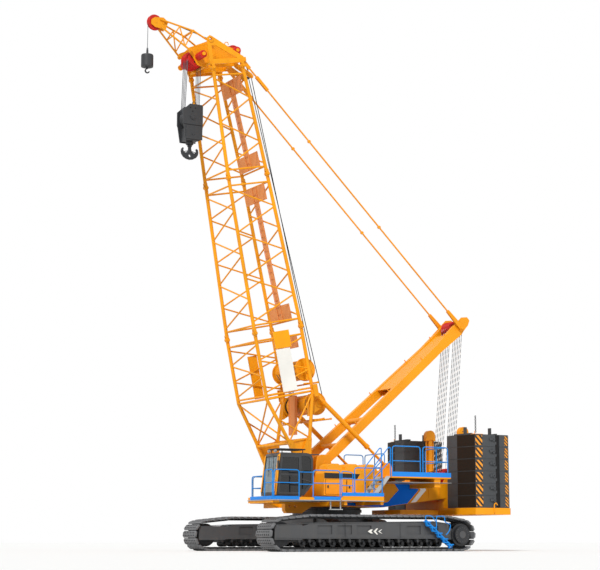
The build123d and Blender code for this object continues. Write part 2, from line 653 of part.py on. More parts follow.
with BuildPart() as console:
    add([slab([(3480, 2112), (3700, 2112), (3660, 2520), (3500, 2560), (3440, 2520)], mid - 330, 200),
         slab([(3440, 2112), (3760, 2112), (3730, 2240), (3500, 2170)], mid + 60, 380)])
save(console, "cab_console")


# ======== lattice boom ========
CHORD_R, LACE_R = 70, 32
KNEE_S, HEAD_S = 3370, 16500
HALF_FOOT_PLATE = 55
EYE_R, EYE_T, PIN_R = 92, 70, 40
# name, start, end, half depth at start and end, half width at start and end, lacing bays
SECTIONS = [
    ("boom_base", KNEE_S, 5950, 1035, 1035, 1200, 1200, 3),
    ("boom_insert", 5950, 12100, 1035, 865, 1200, 1020, 6),
    ("boom_top", 12100, HEAD_S, 865, 660, 1020, 1000, 4),
]
JOINT = 180


def zigzag(place, start, stop, s_from, s_to, bays):
    """Lacing rods between two chords, turning back at each one."""
    lot = []
    for k in range(bays):
        s_a, s_b = s_from + (s_to - s_from) * k / bays, s_from + (s_to - s_from) * (k + 1) / bays
        a, b = (start, stop) if k % 2 == 0 else (stop, start)
        lot.append(rod(place(s_a + 22, *a), place(s_b - 22, *b), LACE_R))
    return lot


def lattice(s0, s1, n0, n1, w0, w1, bays, lower_end, upper_end, rear_bays):
    """The two side trusses of a section, and the rods that cross its front and rear faces."""
    def place(s, fn, fy):
        t = (s - s0) / (s1 - s0)
        return on_boom(s, fn * (n0 + (n1 - n0) * t), fy * (w0 + (w1 - w0) * t))

    first, last = lower_end + 130, upper_end - 130
    sides, crossing = [], []
    for fy in (1, -1):
        for fn in (1, -1):
            sides.append(rod(place(lower_end, fn, fy), place(upper_end, fn, fy), CHORD_R))
        for s in (first, last):
            sides.append(rod(place(s, 1, fy), place(s, -1, fy), LACE_R + 4))
        sides += zigzag(place, (fy, fy), (-fy, fy), first + 110, last - 110, bays)
    for fn, count in ((1, bays), (-1, rear_bays)):
        crossing += [rod(place(s, fn, -1), place(s, fn, 1), LACE_R + 4) for s in (first, last)]
        crossing += zigzag(place, (fn, -fn), (fn, fn), first + 110, last - 110, count)
    return sides, crossing


def end_lugs(s, n, w, upward, eye):
    """Pinned chord ends: a single eye, or a fork of two cheeks with its pin."""
    lot = []
    reach = -190 if upward else 190
    for fn in (1, -1):
        for fy in (1, -1):
            px, pz = on_boom(s, fn * n)
            y = fy * w
            tail = [on_boom(s, fn * n - 62), on_boom(s + reach, fn * n - 62),
                    on_boom(s + reach, fn * n + 62), on_boom(s, fn * n + 62)]
            if eye:
                lot += [slab(tail, y, EYE_T).cut(disc(px, y, pz, EYE_R, EYE_T + 4)),
                        disc(px, y, pz, EYE_R, EYE_T, PIN_R + 2)]
            else:
                for dy in (EYE_T / 2 + 20, -EYE_T / 2 - 20):
                    lot += [slab(tail, y + dy, 32), disc(px, y + dy, pz, EYE_R, 32)]
                lot.append(disc(px, y, pz, PIN_R, EYE_T + 110))
                root = [on_boom(s + reach * 0.62, fn * n - 62), on_boom(s + reach, fn * n - 62),
                        on_boom(s + reach, fn * n + 62), on_boom(s + reach * 0.62, fn * n + 62)]
                lot.append(slab(root, y, EYE_T + 60))
    return lot


def save_section(sides, crossing, name):
    """Write a section's side trusses, and its crossing rods coped to fit between them."""
    with BuildPart() as trusses:
        add(sides)
    with BuildPart() as rods:
        add(crossing)
        add(trusses.part, mode=Mode.SUBTRACT)
    save(trusses, f"{name}_sides")
    save(rods, f"{name}_lacing")


# ---- boom base: name, distance along the boom and across it for each hoist drum ----
WINCHES = [("lower_hoist_drum", 2850, -1230), ("upper_hoist_drum", 4240, -1010)]
HOIST_FLANGE_R, HOIST_W = 455, 1900
name, s0, s1, n0, n1, w0, w1, bays = SECTIONS[0]
sides, crossing = lattice(s0, s1, n0, n1, w0, w1, bays, s0, s1 - JOINT, 0)
crossing.append(rod(on_boom(4850, -n0, -w0), on_boom(5560, -n0, w0), LACE_R))
sides += end_lugs(s1, n1, w1, True, True)
# tapered foot: boxed plates from the pin, then tubes out to the knee
foot_plate = [on_boom(s, n) for s, n in
              [(-60, 128), (40, 150), (1550, 520), (1700, 520), (1620, 330), (1100, 0), (1620, -330),
               (1700, -520), (1550, -520), (40, -150), (-60, -128), (-120, -80), (-142, 0), (-120, 80)]]
for side in (1, -1):
    y_foot = side * BOOM_FOOT_Y
    plate = slab(foot_plate, y_foot, 2 * HALF_FOOT_PLATE)
    sides.append(plate.cut(disc(BOOM_FOOT[0], y_foot, BOOM_FOOT[1], FOOT_PIN_R + 2, 200)))
    for fn in (1, -1):
        sides.append(rod(on_boom(1500, fn * 430, y_foot), on_boom(KNEE_S, fn * n0, side * w0), CHORD_R))
    sides += [rod(on_boom(1640, 425, side * 1312), on_boom(KNEE_S - 40, -n0, side * w0), LACE_R),
              rod(on_boom(1640, -425, side * 1312), on_boom(2560, 745, side * 1252), LACE_R),
              rod(on_boom(KNEE_S, n0, side * w0), on_boom(KNEE_S, -n0, side * w0), LACE_R + 8)]
# cross members of the foot and its front face
crossing += [rod(on_boom(s, n, -half), on_boom(s, n, half), r)
             for s, n, r, half in ((1560, 450, 60, 1300), (1560, -450, 60, 1300),
                                   (KNEE_S, n0, 40, w0), (KNEE_S, -n0, 40, w0))]
crossing += [rod(on_boom(1640, 470, -1300), on_boom(3300, 1015, 1190), LACE_R),
             rod(on_boom(1640, 470, 1300), on_boom(2480, 745, 0), LACE_R),
             rod(on_boom(3300, 1015, -1190), on_boom(2480, 745, 0), LACE_R)]
# winch cheeks on the rear chords
for _, s, n in WINCHES:
    low = s < KNEE_S
    cheek = [on_boom(s - 420, -690 if low else -900), on_boom(s + 420, -900), on_boom(s + 420, -1100),
             on_boom(s + 150, n - 190), on_boom(s - 150, n - 190), on_boom(s - 420, -760 if low else -1100)]
    cx, cz = on_boom(s, n)
    for side in (1, -1):
        sides += [slab(cheek, side * 1085, 150), disc(cx, side * 1085, cz, 150, 230)]
# backstop brackets outboard of the rear chords
bar_outline = [on_boom(s, n) for s, n in ((3480, -1080), (3620, -1080), (3620, -980), (3480, -980))]
cheek_plate = [on_boom(s, n) for s, n in ((3140, -1130), (3620, -1130), (3620, -930), (3140, -930))]
for side in (1, -1):
    sides += [slab(bar_outline, side * 1340, 270), slab(cheek_plate, side * 1458, 40)]
save_section(sides, crossing, name)

for name, s0, s1, n0, n1, w0, w1, bays in SECTIONS[1:]:
    sides, crossing = lattice(s0, s1, n0, n1, w0, w1, bays, s0 + JOINT, s1 - JOINT, bays)
    sides += end_lugs(s0, n0, w0, False, False) + end_lugs(s1, n1, w1, True, True)
    save_section(sides, crossing, name)

# walkway strip inside the rear face, with wide landings at the joints
with BuildPart() as walkway:
    for s0, s1, n0, n1, half in ((6300, 11750, -910, -750, 150), (12450, 16150, -735, -565, 150)):
        add(slab([on_boom(s0, n0), on_boom(s1, n1), on_boom(s1, n1 + 30), on_boom(s0, n0 + 30)], 0, 2 * half))
        for a, b in ((s0, s0 + 620), (s1 - 620, s1)):
            na, nb = n0 + (n1 - n0) * (a - s0) / (s1 - s0), n0 + (n1 - n0) * (b - s0) / (s1 - s0)
            add(slab([on_boom(a, na), on_boom(b, nb), on_boom(b, nb + 30), on_boom(a, na + 30)], 0, 1700))
    add(slab([on_boom(5150, -920), on_boom(5620, -920), on_boom(5620, -890), on_boom(5150, -890)], 0, 1900))
save(walkway, "boom_walkway")

# blank boards clipped to the side faces of the base: side, start, end, lower edge, upper edge
BOARDS = [(1, 3520, 5190, -350, 280), (1, 5220, 5890, -430, 290), (-1, 3430, 5160, -170, 250)]
with BuildPart() as boards:
    for side, s0, s1, n0, n1 in BOARDS:
        add(slab([on_boom(s0, n0), on_boom(s1, n0), on_boom(s1, n1), on_boom(s0, n1)], side * 1250, 24))
save(boards, "blank_boards")

for name, s, n in WINCHES:
    x, z = on_boom(s, n)
    with BuildPart() as hoist:
        add(drum(x, z, HOIST_W, 290, HOIST_FLANGE_R, 45))
    save(hoist, name)

# ---- boom head ----
MAIN_S, MAIN_N = 17090, 930
REAR_S, REAR_N = 17230, -780
EAR_S, EAR_N, EAR_BORE = 17640, 560, 60
JIB_FOOT = (17350, 1250)
JIB_HEEL = (17640, 300)
ANCHOR_S, ANCHOR_N = 16780, -900
with BuildPart() as head:
    lot = end_lugs(HEAD_S, 660, 1000, False, False)
    # open triangle from the chord ends up to the pin ear
    outer = [(16640, 745), (16640, -745), (16700, -790), (16870, -760), (17720, 430), (17800, 560),
             (17720, 690), (17560, 720), (16800, 775)]
    inner = [(16830, 600), (16830, -470), (17390, 400), (17380, 565)]
    for side in (1, -1):
        plate = slab([on_boom(s, n) for s, n in outer], side * 1000, 60)
        plate = plate.cut(slab([on_boom(s, n) for s, n in inner], side * 1000, 80))
        ex, ez = on_boom(EAR_S, EAR_N)
        plate = plate.fuse(disc(ex, side * 1000, ez, 130, 110)).cut(disc(ex, side * 1000, ez, EAR_BORE, 130))
        lot.append(plate)
        web = [(16640, 700), (16780, 1030), (17150, 1180), (17400, 1330), (17480, 1300), (17700, 420), (17740, 300),
               (17700, 210), (17380, -640), (17330, -900), (17150, -930), (16640, -700)]
        lot.append(slab([on_boom(s, n) for s, n in web], side * 430, 36))
        for s, n in (JIB_FOOT, JIB_HEEL):
            px, pz = on_boom(s, n)
            lot.append(disc(px, side * 500, pz, 38, 180))
        # pendant anchor cheeks and their pin
        for y in (600, 760):
            lot.append(slab([on_boom(16740, -640), on_boom(16740, -1000), on_boom(16900, -1000),
                             on_boom(16900, -640)], side * y, 30))
    for s, n, r, width in ((MAIN_S, MAIN_N, 70, 2000), (REAR_S, REAR_N, 70, 1300), (16740, 660, 60, 2000),
                           (16740, -640, 60, 2000)):
        cx, cz = on_boom(s, n)
        lot.append(disc(cx, 0, cz, r, width))
    add(lot)
save(head, "boom_head")

with BuildPart() as main_sheaves:
    x, z = on_boom(MAIN_S, MAIN_N)
    for y in (-330, -198, -66, 66, 198, 330):
        add(sheave(x, y, z, 370, 104, 45, 74))
save(main_sheaves, "main_sheaves")

with BuildPart() as rear_sheaves:
    x, z = on_boom(REAR_S, REAR_N)
    for y in (-220, 0, 220):
        add(sheave(x, y, z, 300, 104, 45, 74))
save(rear_sheaves, "rear_sheaves")

# ---- tip jib ----
TIP_S, TIP_N, TIP_R = 18680, 2330, 310
KNEE = (18160, 930)
with BuildPart() as jib:
    lot = []
    for side in (1, -1):
        y_in, y_tip = side * 520, side * 110
        tip_low, tip_high = (18450, 2150), (18760, 2120)
        lot += [rod(on_boom(*JIB_FOOT, y_in), on_boom(*tip_low, side * 150), 38),
                rod(on_boom(*KNEE, side * 420), on_boom(*tip_high, side * 140), 36),
                rod(on_boom(*KNEE, side * 420), on_boom(*JIB_HEEL, y_in), 37),
                rod(on_boom(*KNEE, side * 420), on_boom(17560, 1420, side * 445), 26),
                rod(on_boom(17560, 1420, side * 445), on_boom(18390, 1430, side * 310), 26),
                rod(on_boom(18390, 1430, side * 310), on_boom(18020, 1800, side * 290), 26)]
        for s, n in (JIB_FOOT, JIB_HEEL):
            px, pz = on_boom(s, n)
            lot.append(disc(px, y_in, pz, 85, 60))
        cheek = [on_boom(s, n) for s, n in [(18330, 1960), (18640, 1800), (18830, 1960), (18870, 2330),
                                            (18790, 2500), (18620, 2540), (18480, 2400)]]
        lot.append(slab(cheek, y_tip, 30))
        tx, tz = on_boom(18600, 2020)
        lot.append(disc(tx, side * 128, tz, 34, 60))
    lot.append(rod(on_boom(*KNEE, -450), on_boom(*KNEE, 450), 45))
    lot.append(rod(on_boom(18020, 1800, -290), on_boom(18020, 1800, 290), 26))
    lot.append(rod(on_boom(18640, 1830, -140), on_boom(18640, 1830, 140), 30))
    tx, tz = on_boom(TIP_S, TIP_N)
    lot.append(disc(tx, 0, tz, 50, 270))
    for piece in lot:
        add(piece)
    for side in (1, -1):
        for s, n in (JIB_FOOT, JIB_HEEL):
            px, pz = on_boom(s, n)
            add(disc(px, side * 500, pz, 40, 200), mode=Mode.SUBTRACT)
save(jib, "tip_jib")

with BuildPart() as tip_sheave:
    add(sheave(tx, 0, tz, TIP_R, 110, 45, 54))
save(tip_sheave, "tip_sheave")

# ======== luffing mast ========
LEG_DEEP, LEG_WIDE = 350, 200
HEAD_HALF, FOOT_HALF = 500, 910
leg_outline = [(-110, 90), (0, 140), (900, LEG_DEEP / 2), (7600, LEG_DEEP / 2), (8900, 250), (9160, 180),
               (9200, 0), (9160, -180), (8900, -250), (7600, -LEG_DEEP / 2), (900, -LEG_DEEP / 2),
               (0, -140), (-110, -90), (-140, 0)]


def mast_half(s):
    """Distance of a leg's centre line from the middle, s along the mast."""
    return FOOT_HALF + (HEAD_HALF - FOOT_HALF) * s / MAST_LEN


hx, hz = on_mast(MAST_LEN, 0)
with BuildPart() as mast:
    lot = []
    for side in (1, -1):
        lean = Vector(hx - MAST_FOOT[0], side * (HEAD_HALF - FOOT_HALF), hz - MAST_FOOT[1])
        across = Vector(MZ, 0, -MX)
        leg_plane = Plane(origin=(MAST_FOOT[0], side * FOOT_HALF, MAST_FOOT[1]), x_dir=lean,
                          z_dir=lean.cross(across))
        with BuildSketch(leg_plane) as leg_face:
            with BuildLine():
                Polyline(*leg_outline, close=True)
            make_face()
        leg = extrude(leg_face.sketch, amount=LEG_WIDE / 2, both=True, mode=Mode.PRIVATE)
        lot.append(leg.cut(disc(MAST_FOOT[0], side * FOOT_HALF, MAST_FOOT[1], 74, 400)))
    # closing plates and the cross tubes between the legs
    for s0, s1, n in ((4700, 8350, 130), (4700, 7400, -130)):
        with BuildSketch(Plane(origin=(MAST_FOOT[0], 0, MAST_FOOT[1]), x_dir=(MX, 0, MZ),
                               z_dir=(MZ, 0, -MX)).offset(n - 20)) as web:
            with BuildLine():
                Polyline((s0, mast_half(s0)), (s1, mast_half(s1)), (s1, -mast_half(s1)),
                         (s0, -mast_half(s0)), close=True)
            make_face()
        lot.append(extrude(web.sketch, amount=40, mode=Mode.PRIVATE))
    for s, r in ((1200, 90), (2800, 120)):
        cx, cz = on_mast(s, 0)
        lot.append(disc(cx, 0, cz, r, 2 * mast_half(s)))
    # head cheeks and shaft
    for y in (-430, 430):
        cheek = [on_mast(s, n) for s, n in [(8200, 150), (8900, 260), (9180, 200), (9240, 0), (9180, -200),
                                            (8900, -260), (8200, 110)]]
        lot.append(slab(cheek, y, 40))
    lot.append(disc(hx, 0, hz, 60, 2 * PENDANT_Y + 160))
    add(lot)
save(mast, "mast")

with BuildPart() as mast_sheaves:
    for y in SHEAVES_Y:
        add(sheave(hx, y, hz, 330, 100, 40, 66))
save(mast_sheaves, "mast_sheaves")

# ---- pendants, from the mast head to the boom head ----
PEND_X0, PEND_Z0 = hx, hz
ax, az = on_boom(ANCHOR_S, ANCHOR_N)
PEND_LEN = hypot(ax - PEND_X0, az - PEND_Z0)
PEND_DIR = atan2(az - PEND_Z0, ax - PEND_X0)


def on_pendant(s, n, y=None):
    """A point s along the pendant from the mast pin and n above its line."""
    x = PEND_X0 + s * cos(PEND_DIR) - n * sin(PEND_DIR)
    z = PEND_Z0 + s * sin(PEND_DIR) + n * cos(PEND_DIR)
    return (x, z) if y is None else (x, y, z)


with BuildPart() as pendants:
    lot = []
    for side in (1, -1):
        y = side * PENDANT_Y
        for dy in (-33, 33):
            for a, b in ((0, 900), (PEND_LEN - 1500, PEND_LEN - 900)):
                if a == 0:
                    ends = [(-100, 50), (-50, 100), (50, 100), (b + 60, 60), (b + 60, -60), (50, -100),
                            (-50, -100), (-100, -50)]
                else:
                    ends = [(a - 60, 60), (b + 60, 60), (b + 60, -60), (a - 60, -60)]
                plate = slab([on_pendant(s, n) for s, n in ends], y + dy, 26)
                if a == 0:
                    plate = plate.cut(disc(hx, y + dy, hz, 64, 60))
                lot.append(plate)
        lot.append(rod(on_pendant(860, 0, y), on_pendant(PEND_LEN - 1460, 0, y), 34))
        lot.append(rod(on_pendant(PEND_LEN - 940, 0, y), on_pendant(PEND_LEN - 330, 0, y), 34))
        for s in (860, PEND_LEN - 1460, PEND_LEN - 940):
            px, pz = on_pendant(s, 0)
            lot.append(disc(px, y, pz, 52, 100))
        for s in (5600, 10200):
            px, pz = on_pendant(s, 0)
            lot.append(disc(px, y, pz, 62, 84))
        # yoke at the boom end
        yoke = [on_pendant(s, n) for s, n in [(PEND_LEN - 420, 70), (PEND_LEN + 50, 70), (PEND_LEN + 70, 0),
                                              (PEND_LEN + 50, -70), (PEND_LEN - 420, -70)]]
        lot.append(slab(yoke, y, 60))
    add(lot)
save(pendants, "pendants")

# ---- backstops ----
bx, bz = on_boom(3250, -1030)
STOP_LEN = hypot(bx - BACKSTOP_FOOT[0], bz - BACKSTOP_FOOT[1])
STOP_DIR = atan2(bz - BACKSTOP_FOOT[1], bx - BACKSTOP_FOOT[0])
# measured from the foot pin: the rod stands in the frame, the tube slides on it and carries the boom eye
STOP_ROD_END, STOP_ROD_R = 3500, 52
TUBE_START, TUBE_END, TUBE_R, TUBE_BORE, BORE_END = 1100, 3760, 92, 58, 3700


def on_stop(s, y):
    x0, z0 = BACKSTOP_FOOT
    return (x0 + s * cos(STOP_DIR), y, z0 + s * sin(STOP_DIR))


with BuildPart() as stop_rods:
    for side in (1, -1):
        y = side * BACKSTOP_Y
        add([rod(on_stop(40, y), on_stop(STOP_ROD_END, y), STOP_ROD_R),
             disc(BACKSTOP_FOOT[0], y, BACKSTOP_FOOT[1], 100, 120)])
        add(disc(BACKSTOP_FOOT[0], y, BACKSTOP_FOOT[1], 47, 200), mode=Mode.SUBTRACT)
save(stop_rods, "backstop_rods")

with BuildPart() as tubes:
    for side in (1, -1):
        y = side * BACKSTOP_Y
        add([rod(on_stop(TUBE_START, y), on_stop(TUBE_END, y), TUBE_R),
             rod(on_stop(TUBE_START, y), on_stop(TUBE_START + 110, y), TUBE_R + 14),
             rod(on_stop(TUBE_END - 60, y), on_stop(STOP_LEN, y), 58),
             disc(bx, y, bz, 85, 100), disc(bx, y, bz, 38, 130)])
        add(rod(on_stop(TUBE_START - 10, y), on_stop(BORE_END, y), TUBE_BORE), mode=Mode.SUBTRACT)
save(tubes, "backstop_tubes")

# ======== hooks ========
HOOK_X, HOOK_TOP = 6150, 15732
BLOCK_PIN_Z = 16800
cheek_outline = [(-380, 17330), (130, 17330), (425, 17060), (425, 16520), (400, 16480), (300, 15850),
                 (-250, 15850), (-380, 15960), (-425, 16480), (-425, 17290)]
with BuildPart() as hook_block:
    cheeks = [slab([(HOOK_X + x, z) for x, z in cheek_outline], y, 50) for y in (-275, 275)]
    spacers = [disc(HOOK_X + x, 0, z, 32, 540) for x, z in ((-340, 17160), (240, 17130), (-300, 16020))]
    add(cheeks + spacers + [block(HOOK_X - 260, HOOK_X + 260, -252, 252, 15880, 16380),
                            disc(HOOK_X, 0, BLOCK_PIN_Z, 60, 660), disc(HOOK_X, 290, 16080, 70, 60),
                            disc(HOOK_X, -290, 16080, 70, 60)])
    with BuildSketch(Plane.XY.offset(15740)):
        with Locations((HOOK_X, 0)):
            Circle(120)
    extrude(amount=160)
save(hook_block, "main_hook_block")

with BuildPart() as hook_sheaves:
    for y in (-168, -56, 56, 168):
        add(sheave(HOOK_X, y, BLOCK_PIN_Z, 345, 96, 40, 66))
save(hook_sheaves, "hook_block_sheaves")

# double hook: a swept outline with rounded edges, a shackle hole and a threaded shank
ramshorn = [(-58, 0), (58, 0), (58, -150), (75, -230), (130, -300), (205, -320), (262, -285), (280, -215),
            (262, -150), (300, -120), (350, -170), (372, -270), (345, -390), (270, -490), (150, -560),
            (0, -590), (-150, -560), (-270, -490), (-345, -390), (-372, -270), (-350, -170), (-300, -120),
            (-262, -150), (-280, -215), (-262, -285), (-205, -320), (-130, -300), (-75, -230), (-58, -150)]
EYE_Z, EYE_BORE = HOOK_TOP - 430, 60
with BuildPart() as hook:
    with BuildSketch(Plane.XZ):
        with BuildLine():
            Polyline(*[(HOOK_X + x, HOOK_TOP + z) for x, z in ramshorn], close=True)
        make_face()
    extrude(amount=55, both=True)
    chamfer(hook.edges().filter_by(Plane.XZ), 22)
    add(disc(HOOK_X, 0, EYE_Z, EYE_BORE, 200), mode=Mode.SUBTRACT)
    add(rod((HOOK_X, 0, HOOK_TOP - 70), (HOOK_X, 0, HOOK_TOP), 90))
save(hook, "main_hook")

AUX_X = tx + TIP_R - 22
aux_profile = [(0, 18600), (110, 18600), (235, 18640), (240, 18680), (240, 19090), (225, 19130), (70, 19150),
               (45, 19190), (40, 19330), (0, 19330)]
with BuildPart() as ball:
    with BuildSketch(Plane.XZ):
        with BuildLine():
            Polyline(*aux_profile, close=True)
        make_face()
    revolve(axis=Axis.Z)
aux_hook = [(-30, 18620), (30, 18620), (30, 18585), (78, 18545), (100, 18490), (80, 18420), (30, 18385),
            (-30, 18380), (-85, 18410), (-104, 18465), (-70, 18478), (-50, 18440), (0, 18425), (45, 18450),
            (52, 18495), (25, 18535), (-30, 18560)]
with BuildPart() as aux:
    add([ball.part.moved(Location((AUX_X, 0, 0))), slab([(AUX_X + x, z) for x, z in aux_hook], 0, 50)])
save(aux, "aux_hook_weight")
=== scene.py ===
import bpy, bmesh, json
from math import atan2, cos, hypot, pi, radians, sin
from mathutils import Matrix, Vector


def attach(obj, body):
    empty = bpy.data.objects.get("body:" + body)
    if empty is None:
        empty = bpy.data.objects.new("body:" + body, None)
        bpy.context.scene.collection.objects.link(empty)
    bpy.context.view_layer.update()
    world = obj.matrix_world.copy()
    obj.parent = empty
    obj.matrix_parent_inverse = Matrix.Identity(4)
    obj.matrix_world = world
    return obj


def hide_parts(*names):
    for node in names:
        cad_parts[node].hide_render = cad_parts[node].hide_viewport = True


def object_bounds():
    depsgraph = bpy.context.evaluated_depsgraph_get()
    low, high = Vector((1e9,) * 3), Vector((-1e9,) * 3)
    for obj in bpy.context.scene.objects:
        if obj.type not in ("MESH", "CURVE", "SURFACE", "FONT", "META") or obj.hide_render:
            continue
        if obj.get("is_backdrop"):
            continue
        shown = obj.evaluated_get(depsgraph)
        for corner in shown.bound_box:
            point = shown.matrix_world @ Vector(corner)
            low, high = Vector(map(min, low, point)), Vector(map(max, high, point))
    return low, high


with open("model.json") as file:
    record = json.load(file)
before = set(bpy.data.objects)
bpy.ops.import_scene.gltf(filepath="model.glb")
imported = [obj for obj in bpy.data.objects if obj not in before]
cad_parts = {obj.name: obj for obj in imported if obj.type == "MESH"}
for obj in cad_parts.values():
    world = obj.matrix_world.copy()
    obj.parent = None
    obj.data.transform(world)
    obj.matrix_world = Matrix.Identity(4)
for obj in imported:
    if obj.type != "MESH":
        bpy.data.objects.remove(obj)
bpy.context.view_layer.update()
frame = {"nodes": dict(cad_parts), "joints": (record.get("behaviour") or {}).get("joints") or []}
nodes = frame["nodes"]

ACROSS, UPWARD, LENGTHWAYS = (0, 1, 0), (0, 0, 1), (1, 0, 0)


# ---------------------------------------------------------------- node groups
def new_group(name, inputs, outputs):
    group = bpy.data.node_groups.new(name, "ShaderNodeTree")
    for label, kind, value in inputs:
        socket = group.interface.new_socket(label, in_out="INPUT", socket_type=kind)
        socket.default_value = value
    for label, kind in outputs:
        group.interface.new_socket(label, in_out="OUTPUT", socket_type=kind)
    return group, group.nodes.new("NodeGroupInput"), group.nodes.new("NodeGroupOutput")


def noise(tree, coords, scale, detail=4.0, rough=0.55):
    node = tree.nodes.new("ShaderNodeTexNoise")
    node.inputs["Scale"].default_value = scale
    node.inputs["Detail"].default_value = detail
    node.inputs["Roughness"].default_value = rough
    tree.links.new(coords, node.inputs["Vector"])
    return node.outputs["Fac"]


def ramp(tree, value, low, high, out_low=0.0, out_high=1.0):
    node = tree.nodes.new("ShaderNodeMapRange")
    node.inputs["From Min"].default_value = low
    node.inputs["From Max"].default_value = high
    node.inputs["To Min"].default_value = out_low
    node.inputs["To Max"].default_value = out_high
    tree.links.new(value, node.inputs["Value"])
    return node.outputs["Result"]


def calc(tree, operation, a, b):
    node = tree.nodes.new("ShaderNodeMath")
    node.operation = operation
    for socket, value in zip(node.inputs, (a, b)):
        if isinstance(value, (int, float)):
            socket.default_value = value
        else:
            tree.links.new(value, socket)
    return node.outputs["Value"]


def mix(tree, factor, a, b):
    node = tree.nodes.new("ShaderNodeMix")
    node.data_type = "RGBA"
    tree.links.new(factor, node.inputs["Factor"])
    for name, value in (("A", a), ("B", b)):
        socket = [s for s in node.inputs if s.name == name and s.type == "RGBA"][0]
        if isinstance(value, tuple):
            socket.default_value = value
        else:
            tree.links.new(value, socket)
    return [s for s in node.outputs if s.type == "RGBA"][0]


def split_axes(tree, coords):
    node = tree.nodes.new("ShaderNodeSeparateXYZ")
    tree.links.new(coords, node.inputs["Vector"])
    return node.outputs


def weathered_finish():
    """Broad colour drift, fine speckle, dust that thickens low down, thin scuffs."""
    group, given, result = new_group(
        "WeatheredFinish",
        [("Vector", "NodeSocketVector", (0, 0, 0)), ("Base", "NodeSocketColor", (0.8, 0.4, 0.05, 1)),
         ("Dust", "NodeSocketColor", (0.45, 0.38, 0.3, 1)), ("Drift", "NodeSocketFloat", 0.12),
         ("Dust Amount", "NodeSocketFloat", 0.2), ("Dust Height", "NodeSocketFloat", 1.5),
         ("Scuff", "NodeSocketFloat", 0.2), ("Scuff Color", "NodeSocketColor", (0.2, 0.12, 0.08, 1)),
         ("Roughness", "NodeSocketFloat", 0.45)],
        [("Color", "NodeSocketColor"), ("Roughness", "NodeSocketFloat"), ("Height", "NodeSocketFloat")])
    spot, link = given.outputs["Vector"], group.links.new
    broad = noise(group, spot, scale=0.55, detail=3.0)
    fine = noise(group, spot, scale=14.0, detail=5.0, rough=0.6)
    # streaks run down the faces
    streak_map = group.nodes.new("ShaderNodeMapping")
    streak_map.inputs["Scale"].default_value = (3.0, 3.0, 0.35)
    link(spot, streak_map.inputs["Vector"])
    streak = noise(group, streak_map.outputs["Vector"], scale=2.2, detail=5.0, rough=0.65)
    drift = calc(group, "MULTIPLY", ramp(group, broad, 0.35, 0.65, -0.5, 0.5), given.outputs["Drift"])
    shade = group.nodes.new("ShaderNodeHueSaturation")
    link(given.outputs["Base"], shade.inputs["Color"])
    link(calc(group, "ADD", 1.0, drift), shade.inputs["Value"])
    low = calc(group, "DIVIDE", split_axes(group, spot)["Z"], given.outputs["Dust Height"])
    low = ramp(group, low, 0.0, 1.0, 1.0, 0.0)
    patch = ramp(group, streak, 0.42, 0.72)
    dust = calc(group, "MULTIPLY", calc(group, "ADD", calc(group, "MULTIPLY", low, 0.8), 0.2), patch)
    dust = calc(group, "MULTIPLY", dust, given.outputs["Dust Amount"])
    dusty = mix(group, dust, shade.outputs["Color"], given.outputs["Dust"])
    scuffs = calc(group, "MULTIPLY", ramp(group, fine, 0.66, 0.74), given.outputs["Scuff"])
    link(mix(group, scuffs, dusty, given.outputs["Scuff Color"]), result.inputs["Color"])
    rough = calc(group, "ADD", given.outputs["Roughness"], calc(group, "MULTIPLY", dust, 0.5))
    speckle = calc(group, "MULTIPLY", ramp(group, fine, 0.3, 0.7, -0.5, 0.5), 0.12)
    link(calc(group, "ADD", rough, speckle), result.inputs["Roughness"])
    height = calc(group, "ADD", calc(group, "MULTIPLY", fine, 0.6), calc(group, "MULTIPLY", broad, 0.4))
    link(height, result.inputs["Height"])
    return group


WEATHERED = weathered_finish()


# ---------------------------------------------------------------- finishes
def srgb(code):
    """A colour code as the linear colour that a shader takes."""
    parts = [int(code[i:i + 2], 16) / 255 for i in (1, 3, 5)]
    return tuple(c / 12.92 if c <= 0.04045 else ((c + 0.055) / 1.055) ** 2.4 for c in parts) + (1.0,)


SCUFF_BROWN = "#6b4a2c"
ALL_HEIGHTS = 40.0  # a dust height above the whole crane, for what is dusty right up


def finish(name, base, dust="#b9a488", drift=0.14, dust_amount=0.25, dust_height=2.0, scuff=0.15,
           roughness=0.42, metallic=0.0, bump=0.15, bump_mm=1.5, shine=0.5):
    """A painted or bare metal finish with its own weathering."""
    mat = bpy.data.materials.new(name)
    mat.use_nodes = True
    tree = mat.node_tree
    shader = tree.nodes["Principled BSDF"]
    coords = tree.nodes.new("ShaderNodeTexCoord")
    group = tree.nodes.new("ShaderNodeGroup")
    group.node_tree = WEATHERED
    tree.links.new(coords.outputs["Object"], group.inputs["Vector"])
    for label, value in (("Base", srgb(base)), ("Dust", srgb(dust)), ("Scuff Color", srgb(SCUFF_BROWN)),
                         ("Drift", drift), ("Dust Amount", dust_amount), ("Dust Height", dust_height),
                         ("Scuff", scuff), ("Roughness", roughness)):
        group.inputs[label].default_value = value
    tree.links.new(group.outputs["Color"], shader.inputs["Base Color"])
    tree.links.new(group.outputs["Roughness"], shader.inputs["Roughness"])
    shader.inputs["Metallic"].default_value = metallic
    shader.inputs["Specular IOR Level"].default_value = shine
    relief = tree.nodes.new("ShaderNodeBump")
    relief.inputs["Strength"].default_value = bump
    relief.inputs["Distance"].default_value = bump_mm / 1000
    tree.links.new(group.outputs["Height"], relief.inputs["Height"])
    tree.links.new(relief.outputs["Normal"], shader.inputs["Normal"])
    return mat


